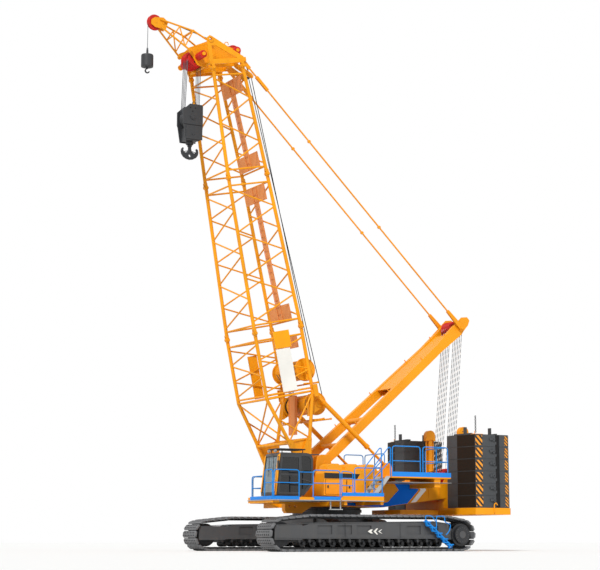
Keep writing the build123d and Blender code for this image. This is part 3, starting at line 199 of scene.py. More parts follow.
YELLOW = finish("frame_yellow", "#f29c0c", dust="#b5762a", dust_amount=0.22, scuff=0.06, shine=0.25)
BOOM_YELLOW = finish("boom_yellow", "#ef9d0a", dust="#9a601c", dust_amount=0.35, dust_height=ALL_HEIGHTS,
                     drift=0.2, shine=0.25)
HOUSE = finish("house_orange", "#f5a41c", dust="#b07830", roughness=0.4, dust_amount=0.2, shine=0.3)
BOARD_ORANGE = finish("board_orange", "#f6a200", dust="#b5762a", roughness=0.45, dust_height=ALL_HEIGHTS,
                      shine=0.25)
RED = finish("wheel_red", "#c8201a", dust="#5b1a14", roughness=0.45, dust_height=ALL_HEIGHTS, shine=0.3)
BLUE = finish("rail_blue", "#0884d8", dust="#3f78b5", dust_amount=0.15, shine=0.3)
KICK_BLUE = finish("kick_board_blue", "#1683e0", dust="#4a8fca", roughness=0.45, dust_amount=0.2, shine=0.3)
WEIGHT = finish("weight_grey", "#3a3d40", dust="#5d5850", roughness=0.6, drift=0.25, bump=0.4, bump_mm=4)
TRACK = finish("track_black", "#141415", dust="#4a443d", roughness=0.55, metallic=0.3, dust_height=1.6,
               dust_amount=0.4, bump=0.4, bump_mm=4)
SHOE = finish("shoe_steel", "#6b6c6e", dust="#5a544c", roughness=0.5, metallic=0.3, dust_height=1.6,
              dust_amount=0.35, bump=0.4, bump_mm=4, drift=0.3)
FRAME_GREY = finish("frame_grey", "#434446", dust="#5f5a52", roughness=0.5, dust_amount=0.3)
STAIR_GREY = finish("stair_grey", "#b4b6b6", dust="#9a948a", roughness=0.5, dust_amount=0.3)
STEEL = finish("dark_steel", "#2f3134", dust="#575047", roughness=0.45, metallic=0.5)
CAB = finish("cab_grey", "#2e3033", dust="#5a564f", roughness=0.35, dust_amount=0.15)
HOOK = finish("hook_grey", "#27292c", dust="#45423d", roughness=0.5, dust_height=ALL_HEIGHTS)
SALMON = finish("walk_salmon", "#e09050", dust="#b4713c", roughness=0.5, dust_height=ALL_HEIGHTS, shine=0.25)
BRIGHT = finish("bright_rod", "#c4c6c8", dust="#9a938a", roughness=0.2, metallic=0.9)
WHITE = finish("plain_white", "#e8e6df", dust="#b8b0a2", roughness=0.45)
PLASTIC = finish("dark_plastic", "#2a2c2f", dust="#4a4a4a", roughness=0.6)
FABRIC = finish("chair_cloth", "#222429", dust="#3a3a3a", roughness=0.9, bump=0.5, bump_mm=2)
STRIPE_BLUE = finish("stripe_blue", "#0074f0", dust="#0a4fa5", roughness=0.5, dust_amount=0.05, scuff=0.02,
                     shine=0.1)
STRIPE_WHITE = finish("stripe_white", "#ffffff", dust="#e8e4dc", roughness=0.5, dust_amount=0.05,
                      scuff=0.02, shine=0.2)
BLACK = finish("plain_black", "#0d0d0e", dust="#3a3630", roughness=0.5)
PITS = finish("dark_gaps", "#0a0a0b", dust="#151412", roughness=0.9)
GREY_PLATE = finish("grey_plate", "#a4a8aa", dust="#8f8a80", roughness=0.45, metallic=0.4)
# painted shade: a dark brown put on the counterweights' slanted corner faces to stand for the shadow on them
PAINTED_SHADE_BROWN = finish("painted_shade_brown", "#22180f", dust="#302419", roughness=0.7, shine=0.2)
TAPE_ORANGE = finish("tape_orange", "#f09a1e", dust="#9a7440", roughness=0.5)
CHAIN = finish("chain_steel", "#2b2c2f", dust="#5d4c3c", roughness=0.5, metallic=0.5)
WHEEL_HUB = finish("wheel_hub_red", "#a51f17", dust="#3e120d", roughness=0.5, dust_height=ALL_HEIGHTS)
WIRE = finish("wire_rope", "#141517", dust="#3a352f", roughness=0.6, metallic=0.2, bump=0.6, bump_mm=3,
              shine=0.2)
FALL = finish("fall_rope", "#55585c", dust="#5a564f", roughness=0.45, metallic=0.5, bump=0.6, bump_mm=3)


def banded(name, dark, light, metres, share, **rest):
    """A rope finish with a light dash in every stretch of so many metres of height."""
    mat = finish(name, dark, **rest)
    tree = mat.node_tree
    axes = split_axes(tree, tree.nodes["Texture Coordinate"].outputs["Object"])
    # neighbouring falls start their dashes at different heights
    stagger = calc(tree, "MULTIPLY", axes["Y"], 7.3)
    run = calc(tree, "ADD", calc(tree, "DIVIDE", axes["Z"], metres), stagger)
    dash = calc(tree, "GREATER_THAN", calc(tree, "FRACT", run, 0.0), 1.0 - share)
    base = [n for n in tree.nodes if n.type == "GROUP"][0].outputs["Color"]
    tree.links.new(mix(tree, dash, base, srgb(light)), tree.nodes["Principled BSDF"].inputs["Base Color"])
    return mat


TACKLE = banded("tackle_rope", "#2b2c30", "#d9d6cf", metres=0.23, share=0.42, roughness=0.5, metallic=0.3)

# the cab's front pane leans back: what lies ahead of this slanted plane is front pane
FRONT_PANE_X, PANE_LEAN = 3.28, 0.132


def glass(name, tint, side_tint=None):
    """Window glass; the panes behind the front one can be darker."""
    mat = bpy.data.materials.new(name)
    mat.use_nodes = True
    tree = mat.node_tree
    shader = tree.nodes["Principled BSDF"]
    coords = tree.nodes.new("ShaderNodeTexCoord").outputs["Object"]
    haze = noise(tree, coords, scale=3.0)
    tree.links.new(ramp(tree, haze, 0.35, 0.7, 0.05, 0.11), shader.inputs["Roughness"])
    shader.inputs["Base Color"].default_value = srgb(tint)
    if side_tint:
        axes = split_axes(tree, coords)
        depth = calc(tree, "ADD", axes["X"], calc(tree, "MULTIPLY", axes["Z"], PANE_LEAN))
        front = calc(tree, "GREATER_THAN", depth, FRONT_PANE_X)
        tree.links.new(mix(tree, front, srgb(side_tint), srgb(tint)), shader.inputs["Base Color"])
    shader.inputs["Transmission Weight"].default_value = 0.6
    shader.inputs["IOR"].default_value = 1.45
    return mat


GLASS = glass("window_glass", "#9fb0b8", side_tint="#1c1e20")
DOOR_GLASS = glass("door_dark_glass", "#1c1e20")

FINISHES = {
    YELLOW: ["turntable_frame", "counterweight_tray", "weight_lifting_posts", "rope_block_stand",
             "side_decks", "luffing_drum", "mast", "pendants", "backstop_tubes", "backstop_rods"],
    BOOM_YELLOW: ["boom_base_sides", "boom_base_lacing", "boom_insert_sides", "boom_insert_lacing",
                  "boom_top_sides", "boom_top_lacing", "boom_head", "tip_jib", "upper_hoist_drum",
                  "lower_hoist_drum"],
    HOUSE: ["engine_house", "tank_house"],
    RED: ["main_sheaves", "rear_sheaves", "tip_sheave", "mast_sheaves", "lower_block_sheaves"],
    BLUE: ["guard_rails", "track_steps"],
    WEIGHT: ["left_counterweights", "right_counterweights"],
    TRACK: ["left_track", "right_track", "track_rollers"],
    FRAME_GREY: ["left_track_frame", "right_track_frame", "car_body"],
    STEEL: ["slewing_ring", "track_drives", "idler_wheels", "engine_block", "main_hook"],
    CAB: ["cab_shell", "cab_door"],
    HOOK: ["main_hook_block", "aux_hook_weight", "hook_block_sheaves"],
    SALMON: ["boom_walkway"],
    WHITE: ["blank_boards"],
    PLASTIC: ["cab_console"],
    FABRIC: ["operator_chair"],
    GLASS: ["cab_windows"],
    DOOR_GLASS: ["door_glass"],
    STAIR_GREY: ["deck_stairs"],
}
for material, names in FINISHES.items():
    for name in names:
        mesh = nodes[name].data
        mesh.materials.clear()
        mesh.materials.append(material)


# ---------------------------------------------------------------- shape helpers
# Shapes are placed about the slewing axis, as in the CAD source, and moved to the shared frame at the end.
JOINT = {j["name"]: Vector(j["pos_m"]) for j in frame["joints"] if "pos_m" in j}
SLEW_X = JOINT["slew"].x
BEVEL_ABOVE, SMOOTH_BELOW = radians(50), radians(35)  # angles between faces
MERGE = 1e-6


def pivot(joint):
    """A joint's place, measured from the slewing axis."""
    return JOINT[joint] - Vector((SLEW_X, 0, 0))


def sideways(y):
    return Vector((0, y, 0))


def flat(points):
    """The (X, Z) pairs of an outline's points."""
    return [(p.x, p.z) for p in points]


BOOM_ANGLE, BOOM_FOOT = radians(78.2), pivot("boom_luff")
UX, UZ = cos(BOOM_ANGLE), sin(BOOM_ANGLE)
UP_BOOM, FORE_BOOM = Vector((UX, 0, UZ)), Vector((UZ, 0, -UX))
MAST_ANGLE, MAST_FOOT = radians(40.5), pivot("mast_swing")
MX, MZ = -cos(MAST_ANGLE), sin(MAST_ANGLE)


def on_boom(s, n, y=0.0):
    """A point s up the boom from its foot pin and n forward of its centre line."""
    return Vector((BOOM_FOOT.x + s * UX + n * UZ, y, BOOM_FOOT.z + s * UZ - n * UX))


def on_mast(s, n, y=0.0):
    """A point s up the mast from its foot pin and n to the boom's side of its centre line."""
    return Vector((MAST_FOOT.x + s * MX + n * MZ, y, MAST_FOOT.z + s * MZ - n * MX))


def boom_outline(*stations):
    """An outline on the boom's side, from its stations (s, n)."""
    return flat(on_boom(s, n) for s, n in stations)


def facing(axis):
    """The turn that lays local Z along an axis."""
    return Vector(axis).to_track_quat("Z", "Y").to_matrix().to_4x4()


def placed(centre, axis):
    """The move to a centre and the turn to an axis."""
    return Matrix.Translation(Vector(centre)) @ facing(axis)


def rounded(points, bend, steps=4):
    """A path with its corners eased."""
    points = [Vector(p) for p in points]
    path = [points[0]]
    for a, b, c in zip(points, points[1:], points[2:]):
        cut = min(bend, (a - b).length * 0.45, (c - b).length * 0.45)
        start, end = b + (a - b).normalized() * cut, b + (c - b).normalized() * cut
        for k in range(steps + 1):
            f = k / steps
            path.append(start * (1 - f) ** 2 + b * 2 * f * (1 - f) + end * f * f)
    return path + [points[-1]]


def circle_spots(centre, axis, radius, count):
    """Evenly spaced spots on a circle."""
    place = placed(centre, axis)
    turns = [2 * pi * k / count for k in range(count)]
    return [place @ Vector((radius * cos(a), radius * sin(a), 0)) for a in turns]


def edges_of(verts):
    """The edges at some corners, once each."""
    return list(dict.fromkeys(edge for vert in verts for edge in vert.link_edges))


class Piece:
    """One named piece, made of many small shapes."""

    def __init__(self, name, material, body, stands_for=()):
        self.name, self.material, self.body, self.stands_for = name, material, body, stands_for
        self.bm = bmesh.new()

    def soften(self, verts, bevel):
        """Bevels the sharp edges of a new shape."""
        if bevel:
            edges = [edge for edge in edges_of(verts) if edge.calc_face_angle(0) > BEVEL_ABOVE]
            bmesh.ops.bevel(self.bm, geom=edges, offset=bevel, offset_type="OFFSET", segments=1,
                            profile=0.5, affect="EDGES", material=-1, clamp_overlap=True)

    def box(self, low, high, bevel=0.004, turn=None):
        low, high = Vector(low), Vector(high)
        size = high - low
        place = Matrix.Translation((low + high) / 2) @ (turn or Matrix()) @ Matrix.Diagonal((*size, 1))
        made = bmesh.ops.create_cube(self.bm, size=1, matrix=place)
        self.soften(made["verts"], min(bevel, min(size) * 0.4))

    def side_box(self, side, low, high, bevel=0.004):
        """A box given for the left side; side -1 puts it on the right."""
        (x0, y0, z0), (x1, y1, z1) = low, high
        self.box((x0, min(side * y0, side * y1), z0), (x1, max(side * y0, side * y1), z1), bevel)

    def disc(self, centre, axis, radius, width, sides=24, bevel=0.004):
        made = bmesh.ops.create_cone(self.bm, cap_ends=True, segments=sides, radius1=radius,
                                     radius2=radius, depth=width, matrix=placed(centre, axis))
        self.soften(made["verts"], min(bevel, width * 0.3))

    def ring(self, centre, axis, radius, thick, sides=24, around=8):
        """A closed ring of round bar."""
        place = placed(centre, axis)
        upright = Matrix.Translation((radius, 0, 0)) @ Matrix.Rotation(pi / 2, 4, "X")
        made = bmesh.ops.create_circle(self.bm, segments=around, radius=thick, matrix=place @ upright)
        bmesh.ops.spin(self.bm, geom=made["verts"] + edges_of(made["verts"]), cent=Vector(centre),
                       axis=place.to_3x3() @ Vector(UPWARD), angle=2 * pi, steps=sides, use_merge=True,
                       use_duplicate=False)

    def prism(self, outline, mid, thick, bevel=0.003, axis="Y"):
        """A plate: outline (X, Z) centred across Y, or (X, Y) centred across Z."""
        def corner(a, b, depth):
            return (a, depth, b) if axis == "Y" else (a, b, depth)
        verts = [self.bm.verts.new(corner(a, b, mid - thick / 2)) for a, b in outline]
        face = self.bm.faces.new(verts)
        grown = bmesh.ops.extrude_face_region(self.bm, geom=[face])
        moved = [v for v in grown["geom"] if isinstance(v, bmesh.types.BMVert)]
        bmesh.ops.translate(self.bm, verts=moved, vec=Vector(corner(0, 0, thick)))
        self.soften(verts + moved, min(bevel, thick * 0.3))

    def tubes(self, paths, radius, detail=2):
        """Round bars swept along paths."""
        data = bpy.data.curves.new("sweep", "CURVE")
        data.dimensions = "3D"
        data.bevel_depth, data.bevel_resolution, data.use_fill_caps = radius, detail, True
        for path in paths:
            spline = data.splines.new("POLY")
            spline.points.add(len(path) - 1)
            for point, spot in zip(spline.points, path):
                point.co = (*spot, 1)
        sweep = bpy.data.objects.new("sweep", data)
        mesh = bpy.data.meshes.new_from_object(sweep)
        self.bm.from_mesh(mesh)
        bpy.data.objects.remove(sweep)
        bpy.data.curves.remove(data)
        bpy.data.meshes.remove(mesh)

    def stamp(self, other, places):
        """Copies another piece's shapes to many places."""
        model = bpy.data.meshes.new("stamp")
        other.bm.to_mesh(model)
        for place in places:
            model.transform(place)
            self.bm.from_mesh(model)
            model.transform(place.inverted())
        bpy.data.meshes.remove(model)

    def bolts(self, spots, axis, radius=0.018, high=0.014):
        for spot in spots:
            self.disc(spot, axis, radius, high, sides=6, bevel=0.002)

    def done(self):
        """Closes and smooths the piece, moves it to the shared frame and hands it to its body."""
        bmesh.ops.remove_doubles(self.bm, verts=self.bm.verts, dist=MERGE)
        bmesh.ops.recalc_face_normals(self.bm, faces=self.bm.faces)
        bmesh.ops.translate(self.bm, verts=self.bm.verts, vec=Vector((SLEW_X, 0, 0)))
        for face in self.bm.faces:
            face.smooth = True
        for edge in self.bm.edges:
            edge.smooth = edge.calc_face_angle(0) < SMOOTH_BELOW
        mesh = bpy.data.meshes.new(self.name)
        self.bm.to_mesh(mesh)
        self.bm.free()
        mesh.materials.append(self.material)
        thing = bpy.data.objects.new(self.name, mesh)
        bpy.context.collection.objects.link(thing)
        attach(thing, self.body)
        if self.stands_for:
            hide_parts(*self.stands_for)


def finish_off(*pieces):
    for piece in pieces:
        piece.done()


# ---------------------------------------------------------------- tracks
TRACK_Y, SHOE_HALF = 3.2, 0.6
AXLE_X, AXLE_Z, TRACK_TOP = 3.89, 0.63, 1.37
TOP_RUN_FRONT, TOP_RUN_REAR = 2.75, -3.25
SHOES, SHOE_T = 66, 0.06


def track_line(inset):
    """The closed line of the track, moved inward from its outer face."""
    r, top = AXLE_Z - inset, TRACK_TOP - inset

    def bend(x, first, last):
        turns = [radians(a) for a in range(first, last, 15)]
        return [(x + r * cos(a), AXLE_Z + r * sin(a)) for a in turns]
    return ([(-AXLE_X, inset), (AXLE_X, inset)] + bend(AXLE_X, -75, 90)
            + [(TOP_RUN_FRONT, top), (TOP_RUN_REAR, top)] + bend(-AXLE_X, 90, 270))


def walk(points, count, slack=1e-9):
    """Equally spaced stations on a closed line, each with its heading, and their spacing."""
    legs = [(Vector(a), Vector(b)) for a, b in zip(points, points[1:] + points[:1])]
    pitch = sum((b - a).length for a, b in legs) / count
    stations, done, want = [], 0.0, 0.0
    for a, b in legs:
        length = (b - a).length
        while want < done + length - slack and len(stations) < count:
            stations.append((a.lerp(b, (want - done) / length), atan2(b.y - a.y, b.x - a.x)))
            want += pitch
        done += length
    return stations, pitch


stations, PITCH = walk(track_line(SHOE_T), SHOES)
# outlines of a shoe, its end blocks and its links: shares of the pitch along, then metres outward, or
# inward for the links
SHOE_PROFILE = [(-0.48, 0.0), (-0.475, 0.024), (-0.35, 0.030), (-0.30, 0.057), (0.30, 0.057),
                (0.35, 0.030), (0.475, 0.024), (0.48, 0.0), (0.42, -0.022), (-0.42, -0.022)]
END_PROFILE = [(-0.44, -0.03), (-0.33, 0.045), (0.33, 0.045), (0.44, -0.03)]
LINK_PROFILE = [(-0.52, 0.02), (-0.46, 0.095), (0.46, 0.095), (0.52, 0.02)]
END_SHARE, HOLE_ROW = 0.86, 0.19
HOLE_OUT, HOLE_R = 0.0578, 0.036
shoe, link, hole = (Piece(name, TRACK, "undercarriage") for name in ("shoe", "link", "hole"))
shoe.prism([(a * PITCH, -out) for a, out in SHOE_PROFILE], 0, 2 * SHOE_HALF - 0.1, bevel=0.012)
for y in (-SHOE_HALF + 0.03, SHOE_HALF - 0.03):
    shoe.prism([(a * PITCH * END_SHARE, -out) for a, out in END_PROFILE], y, 0.06, bevel=0.008)
for y in (-0.16, 0.16):
    link.prism([(a * PITCH, inward) for a, inward in LINK_PROFILE], y, 0.075, bevel=0.006)
link.prism([(-0.07, 0.02), (-0.045, 0.098), (0.045, 0.098), (0.07, 0.02)], 0, 0.06, bevel=0.006)
for row in (-HOLE_ROW, HOLE_ROW):
    for y in (-0.45, -0.30, -0.15, 0.0, 0.15, 0.30, 0.45):
        hole.disc((row * PITCH, y, -HOLE_OUT), UPWARD, HOLE_R, 0.003, sides=8, bevel=0)


def above_ground(place):
    """Whether the hole marks, which stand proud of their shoe, stay clear of the ground at a place."""
    return min((place @ vert.co).z for vert in hole.bm.verts) > 0


for side, name in ((1, "left_track"), (-1, "right_track")):
    places = [Matrix.Translation((spot.x, side * TRACK_Y, spot.y)) @ Matrix.Rotation(-heading, 4, "Y")
              for spot, heading in stations]
    for part, material, model, spots, stands_for in (
            ("shoes", SHOE, shoe, places, [name]), ("links", STEEL, link, places, ()),
            ("shoe_holes", PITS, hole, [place for place in places if above_ground(place)], ())):
        piece = Piece(f"{name}_{part}", material, "undercarriage", stands_for)
        piece.stamp(model, spots)
        piece.done()

# roller rims and hubs, frame seams and stiffeners, drive covers, arrow marks
FIRST_ROLLER, ROLLER_STEP, ROLLERS, ROLLER_Z = -3.01, 0.43, 15, 0.304
TRACK_FRAME_FACE, ARROW_Z, ARROW_POINT = 3.7215, 0.745, 0.14
rims = Piece("roller_rims", STEEL, "undercarriage")
seams = Piece("frame_seams", PITS, "undercarriage")
trim = Piece("frame_trim", FRAME_GREY, "undercarriage")
marks = Piece("frame_arrows", WHITE, "undercarriage")
for side in (1, -1):
    outward, face = (0, side, 0), side * TRACK_FRAME_FACE
    for k in range(ROLLERS):
        x = FIRST_ROLLER + ROLLER_STEP * k
        for spread, radius, width, sides in ((0.235, 0.139, 0.05, 20), (0.30, 0.055, 0.12, 14)):
            for dy in (-spread, spread):
                rims.disc((x, side * TRACK_Y + dy, ROLLER_Z), ACROSS, radius, width, sides=sides)
    for x in (1.34, -1.08):
        seams.box((x - 0.008, face - 0.003, 0.49), (x + 0.008, face + 0.002, 1.05), 0)
    # top flange, lower rail and the bolts beside the seams
    trim.prism([(-3.2, 1.055), (-2.6, 1.135), (2.6, 1.055), (4.15, 0.975), (4.15, 0.955), (2.6, 1.03),
                (-2.6, 1.11), (-3.2, 1.03)], face + side * 0.008, 0.016)
    trim.side_box(side, (-3.1, TRACK_FRAME_FACE, 0.475), (4.25, TRACK_FRAME_FACE + 0.02, 0.505))
    trim.bolts([(x, face + side * 0.012, z) for x in (1.42, 1.26, -1.0, -1.16) for z in (0.56, 0.98)],
               outward)
    for x, half, width in ((0.36, 0.075, 0.16), (0.10, 0.115, 0.10), (-0.10, 0.075, 0.07)):
        back = x - ARROW_POINT
        tail = back - width * 0.6
        marks.prism([(x, ARROW_Z), (back, ARROW_Z + half), (tail, ARROW_Z + half), (x - width, ARROW_Z),
                     (tail, ARROW_Z - half), (back, ARROW_Z - half)], face + side * 0.001, 0.002, 0)
    # final drive cover: hub and bolts, and the seam beside it
    cover = (-AXLE_X, side * (TRACK_Y + SHOE_HALF), AXLE_Z)
    trim.disc(cover, ACROSS, 0.14, 0.03, sides=28)
    trim.bolts(circle_spots(cover, outward, 0.27, 16), outward, 0.017, 0.016)
    seams.box((-2.7, face - side * 0.004 - 0.001, 0.5), (-2.69, face + 0.002 * side + 0.001, 1.0), 0)
finish_off(rims, seams, trim, marks)

# ladders beside the tracks: two zigzag strings, treads and the brackets on the frame
ladder = Piece("ladder_steps", BLUE, "undercarriage", ["track_steps"])
STEP_TOP, STEP_FOOT, STEPS, STEP_SPACES = Vector((-2.15, 0, 1.18)), Vector((-3.33, 0, 0.19)), 5, 4.6
for side in (1, -1):
    for y in (3.815, 3.902):
        zig, off = [], sideways(side * y)
        for k in range(STEPS):
            spot = STEP_TOP.lerp(STEP_FOOT, k / STEP_SPACES)
            zig += [spot + off, spot + Vector((-0.04, side * y, -0.2))]
        ladder.tubes([rounded(zig, 0.03), [STEP_TOP + off, STEP_FOOT + off]], 0.026)
    for k in range(STEPS):
        spot = STEP_TOP.lerp(STEP_FOOT, (k + 0.2) / STEP_SPACES)
        ladder.side_box(side, (spot.x - 0.17, 3.81, spot.z - 0.04), (spot.x + 0.13, 3.925, spot.z), 0.006)
    for x, z in ((-2.3, 0.96), (-2.85, 0.56)):
        ladder.side_box(side, (x - 0.04, 3.72, z - 0.03), (x + 0.04, 3.82, z + 0.03), 0.006)
ladder.done()

# hand loops over the ladders, and bars between the steps
loops = Piece("ladder_loops", BLUE, "undercarriage")
for side in (1, -1):
    y = side * 3.9
    loops.tubes([rounded([(-2.62, y, 0.83), (-2.62, y, 1.33), (-3.0, y, 1.33), (-3.0, y, 1.1),
                          (-3.28, y, 1.02), (-3.2, y, 0.75), (-3.05, y, 0.62)], 0.09),
                 rounded([(-2.12, y, 1.2), (-2.12, y, 1.34), (-2.4, y, 1.34), (-2.62, y, 1.1)], 0.07)],
                0.019)
    y = side * 3.83
    for k in range(4):
        x, z = -2.3 - 0.295 * k, 1.06 - 0.2475 * k
        loops.tubes([[(x, y, z), (x, y, z - 0.12), (x - 0.2, y, z - 0.2)]], 0.012)
loops.done()
ring_bolts = Piece("slew_ring_bolts", STEEL, "undercarriage")
for z, radius in ((1.6, 1.372), (1.392, 1.43)):
    ring_bolts.bolts(circle_spots((0, 0, z), UPWARD, radius, 60), UPWARD, 0.02, 0.03)
ring_bolts.done()

# ---------------------------------------------------------------- main frame and houses
FRAME_FACE, HOUSE_FACE, ENGINE_FACE = 1.42, 2.18, 2.76
PAINT = 0.003  # painted stripes and bands are thin plates lying on the face
STRIPES = (("frame_blue_band", STRIPE_BLUE,
            [(-2.26, 2.695), (-3.21, 2.695), (-3.44, 2.41), (-2.89, 1.865), (-1.74, 1.71), (1.0, 1.78),
             (1.06, 1.9), (-1.69, 1.84), (-1.99, 1.92), (-2.49, 2.39)]),
           ("frame_white_band", STRIPE_WHITE,
            [(-3.30, 2.695), (-3.60, 2.695), (-3.80, 2.41), (-3.32, 1.935), (-3.06, 1.9), (-3.54, 2.40)]))
for name, material, outline in STRIPES:
    stripe = Piece(name, material, "upperworks")
    for side in (1, -1):
        stripe.prism(outline, side * (FRAME_FACE + PAINT / 2), PAINT, 0)
    stripe.done()

frame_bits = Piece("frame_pins", YELLOW, "upperworks")
for side in (1, -1):
    outward = (0, side, 0)
    for foot, cap_y, cap_r, bolt_y, ring_r, count, bolt_r in (
            (BOOM_FOOT, 1.455, 0.06, 1.456, 0.1, 8, 0.014), (MAST_FOOT, 1.18, 0.11, 1.19, 0.08, 6, 0.012)):
        frame_bits.disc(foot + sideways(side * cap_y), ACROSS, cap_r, 0.02)
        spots = circle_spots(foot + sideways(side * bolt_y), outward, ring_r, count)
        frame_bits.bolts(spots, outward, bolt_r, 0.014)
    # stiffening strips on the frame side
    for x in (-4.45, -3.95):
        frame_bits.side_box(side, (x, FRAME_FACE, 2.12), (x + 0.05, FRAME_FACE + 0.025, 2.66))
frame_bits.done()

band = Piece("blank_name_band", BLACK, "upperworks")
band.prism([(1.34, 2.97), (-0.25, 2.95), (-0.12, 2.76), (1.34, 2.76)], HOUSE_FACE + PAINT / 2, PAINT, 0)
band.done()

doors = Piece("house_doors", HOUSE, "upperworks")
door_gaps = Piece("house_door_gaps", PITS, "upperworks")
door_hardware = Piece("house_handles", PLASTIC, "upperworks")
DOOR_GAP = 0.012


def door(side, face, x0, x1, z0, z1):
    """A raised door panel with a shadow gap, two hinges and a latch."""
    door_gaps.side_box(side, (x0 - DOOR_GAP, face, z0 - DOOR_GAP),
                       (x1 + DOOR_GAP, face + 0.002, z1 + DOOR_GAP), 0)
    doors.side_box(side, (x0, face, z0), (x1, face + 0.014, z1), 0.006)
    lip, middle = face + 0.02, (z0 + z1) / 2
    for z in (z0 + 0.12, z1 - 0.12):
        door_hardware.disc((x0 - 0.004, side * lip, z), UPWARD, 0.012, 0.08, sides=10)
    door_hardware.side_box(side, (x1 - 0.12, lip, middle - 0.05),
                           (x1 - 0.06, lip + 0.02, middle + 0.05), 0.006)


for x0, x1 in ((-1.12, -0.52), (-0.48, 0.33), (0.37, 1.28)):
    door(1, HOUSE_FACE, x0, x1, 2.16, 2.73)
for x0, x1 in ((-2.5, -1.72), (-1.68, -0.9), (-0.86, -0.06), (-0.02, 0.86), (0.9, 1.28)):
    door(-1, ENGINE_FACE, x0, x1, 2.12, 2.98)
finish_off(doors, door_gaps, door_hardware)

# louvred vents in the engine house side
vents = Piece("house_vents", HOUSE, "upperworks")
vent_dark = Piece("house_vent_slots", PITS, "upperworks")
VENT_HALF, LOUVRES, LOUVRE_STEP, LOUVRE_TURN = 0.27, 9, 0.06, Matrix.Rotation(radians(-24), 4, "X")
for x in (-2.1, -1.28, -0.46, 0.42):
    vent_dark.box((x - VENT_HALF, -2.7765, 2.3), (x + VENT_HALF, -2.7745, 2.85), 0)
    for k in range(LOUVRES):
        z = 2.33 + LOUVRE_STEP * k
        vents.box((x - VENT_HALF, -2.80, z), (x + VENT_HALF, -2.775, z + 0.028), turn=LOUVRE_TURN)
# slots in the roof outlets of both houses
SLOTS, SLOT_STEP, SLOT_WIDE = 6, 0.055, 0.025
for outlets, y, half, z in (((0.7, -0.3, -1.7), -2.12, 0.40, 3.39), ((0.85, 0.05, -0.72), 1.80, 0.26, 3.33)):
    for x in outlets:
        for k in range(SLOTS):
            start = x - 0.15 + k * SLOT_STEP
            vent_dark.box((start, y - half, z - 0.001), (start + SLOT_WIDE, y + half, z + 0.003), 0)
finish_off(vents, vent_dark)
exhaust = Piece("exhaust_pipe", STEEL, "upperworks")
exhaust.ring((-0.9, -1.9, 3.74), UPWARD, 0.092, 0.012)
exhaust.ring((-0.9, -1.9, 3.16), UPWARD, 0.1, 0.02)
exhaust.prism([(-0.99, 3.745), (-0.81, 3.745), (-0.80, 3.76), (-0.98, 3.83)], -1.9, 0.15, 0.004)
exhaust.done()

# ---------------------------------------------------------------- decks, rails and steps
RAIL_R, RAIL_TOP, BACK_RAIL_TOP = 0.021, 1.02, 1.2
DECK, PLATFORM, DECK_EDGE, PLATFORM_EDGE, REAR_EDGE = 2.0, 2.83, 3.3, 3.188, -3.698
THIN_RAIL = RAIL_R * 0.85
rails = Piece("rail_tubes", BLUE, "upperworks", ["guard_rails"])
kick = Piece("kick_boards", KICK_BLUE, "upperworks")


def panel(a, b, floor, high, bays=1, board=True):
    """A rail panel between two plan points, its top corners rounded, with a middle rail and kick board."""
    a, b = Vector((*a, floor)), Vector((*b, floor))
    up = Vector((0, 0, high - RAIL_R))
    rails.tubes([rounded([a, a + up, b + up, b], 0.13)], RAIL_R)
    rails.tubes([[a + up * 0.52, b + up * 0.52]], THIN_RAIL)
    posts = [a.lerp(b, k / bays) for k in range(bays + 1)]
    for foot in posts[1:-1]:
        rails.tubes([[foot, foot + up]], RAIL_R)
    for foot in posts:
        rails.box(foot - Vector((0.045, 0.045, 0)), foot + Vector((0.045, 0.045, 0.012)), 0.003)
    if board:
        thick = Vector((0, 0.005, 0) if abs(b.x - a.x) > abs(b.y - a.y) else (0.005, 0, 0))
        low, high = (Vector((pick(a.x, b.x), pick(a.y, b.y), floor)) for pick in (min, max))
        kick.box(low - thick + Vector((0, 0, 0.015)), high + thick + Vector((0, 0, 0.145)), 0.002)


# front deck and cab walkway, left
panel((4.16, 2.66), (4.16, 3.27), DECK, RAIL_TOP, board=False)
panel((4.12, DECK_EDGE), (3.06, DECK_EDGE), DECK, RAIL_TOP, board=False)
rails.tubes([[(3.06, DECK_EDGE, z), (2.46, DECK_EDGE, z)] for z in (2.92, 2.47)], THIN_RAIL)
panel((2.46, DECK_EDGE), (1.3, DECK_EDGE), DECK, RAIL_TOP, board=False)
panel((0.66, DECK_EDGE), (-0.56, DECK_EDGE), DECK + 0.19, 0.96, board=False)
# rear platform, left side and back
panel((-1.1, PLATFORM_EDGE), (-2.38, PLATFORM_EDGE), PLATFORM, BACK_RAIL_TOP)
panel((-2.5, PLATFORM_EDGE), (-3.66, PLATFORM_EDGE), PLATFORM, BACK_RAIL_TOP)
panel((REAR_EDGE, 3.13), (REAR_EDGE, 1.55), PLATFORM, BACK_RAIL_TOP, bays=2)
# right deck, then the platform behind it
panel((1.66, -1.53), (1.66, -3.24), DECK, RAIL_TOP)
for k in range(3):
    panel((1.58 - 1.39 * k, -DECK_EDGE), (0.27 - 1.39 * k, -DECK_EDGE), DECK, RAIL_TOP)
panel((-2.56, -3.24), (-2.56, -2.84), DECK, RAIL_TOP)
panel((-2.7, -PLATFORM_EDGE), (-3.64, -PLATFORM_EDGE), PLATFORM, BACK_RAIL_TOP)
panel((REAR_EDGE, -3.13), (REAR_EDGE, -1.55), PLATFORM, BACK_RAIL_TOP, bays=2)
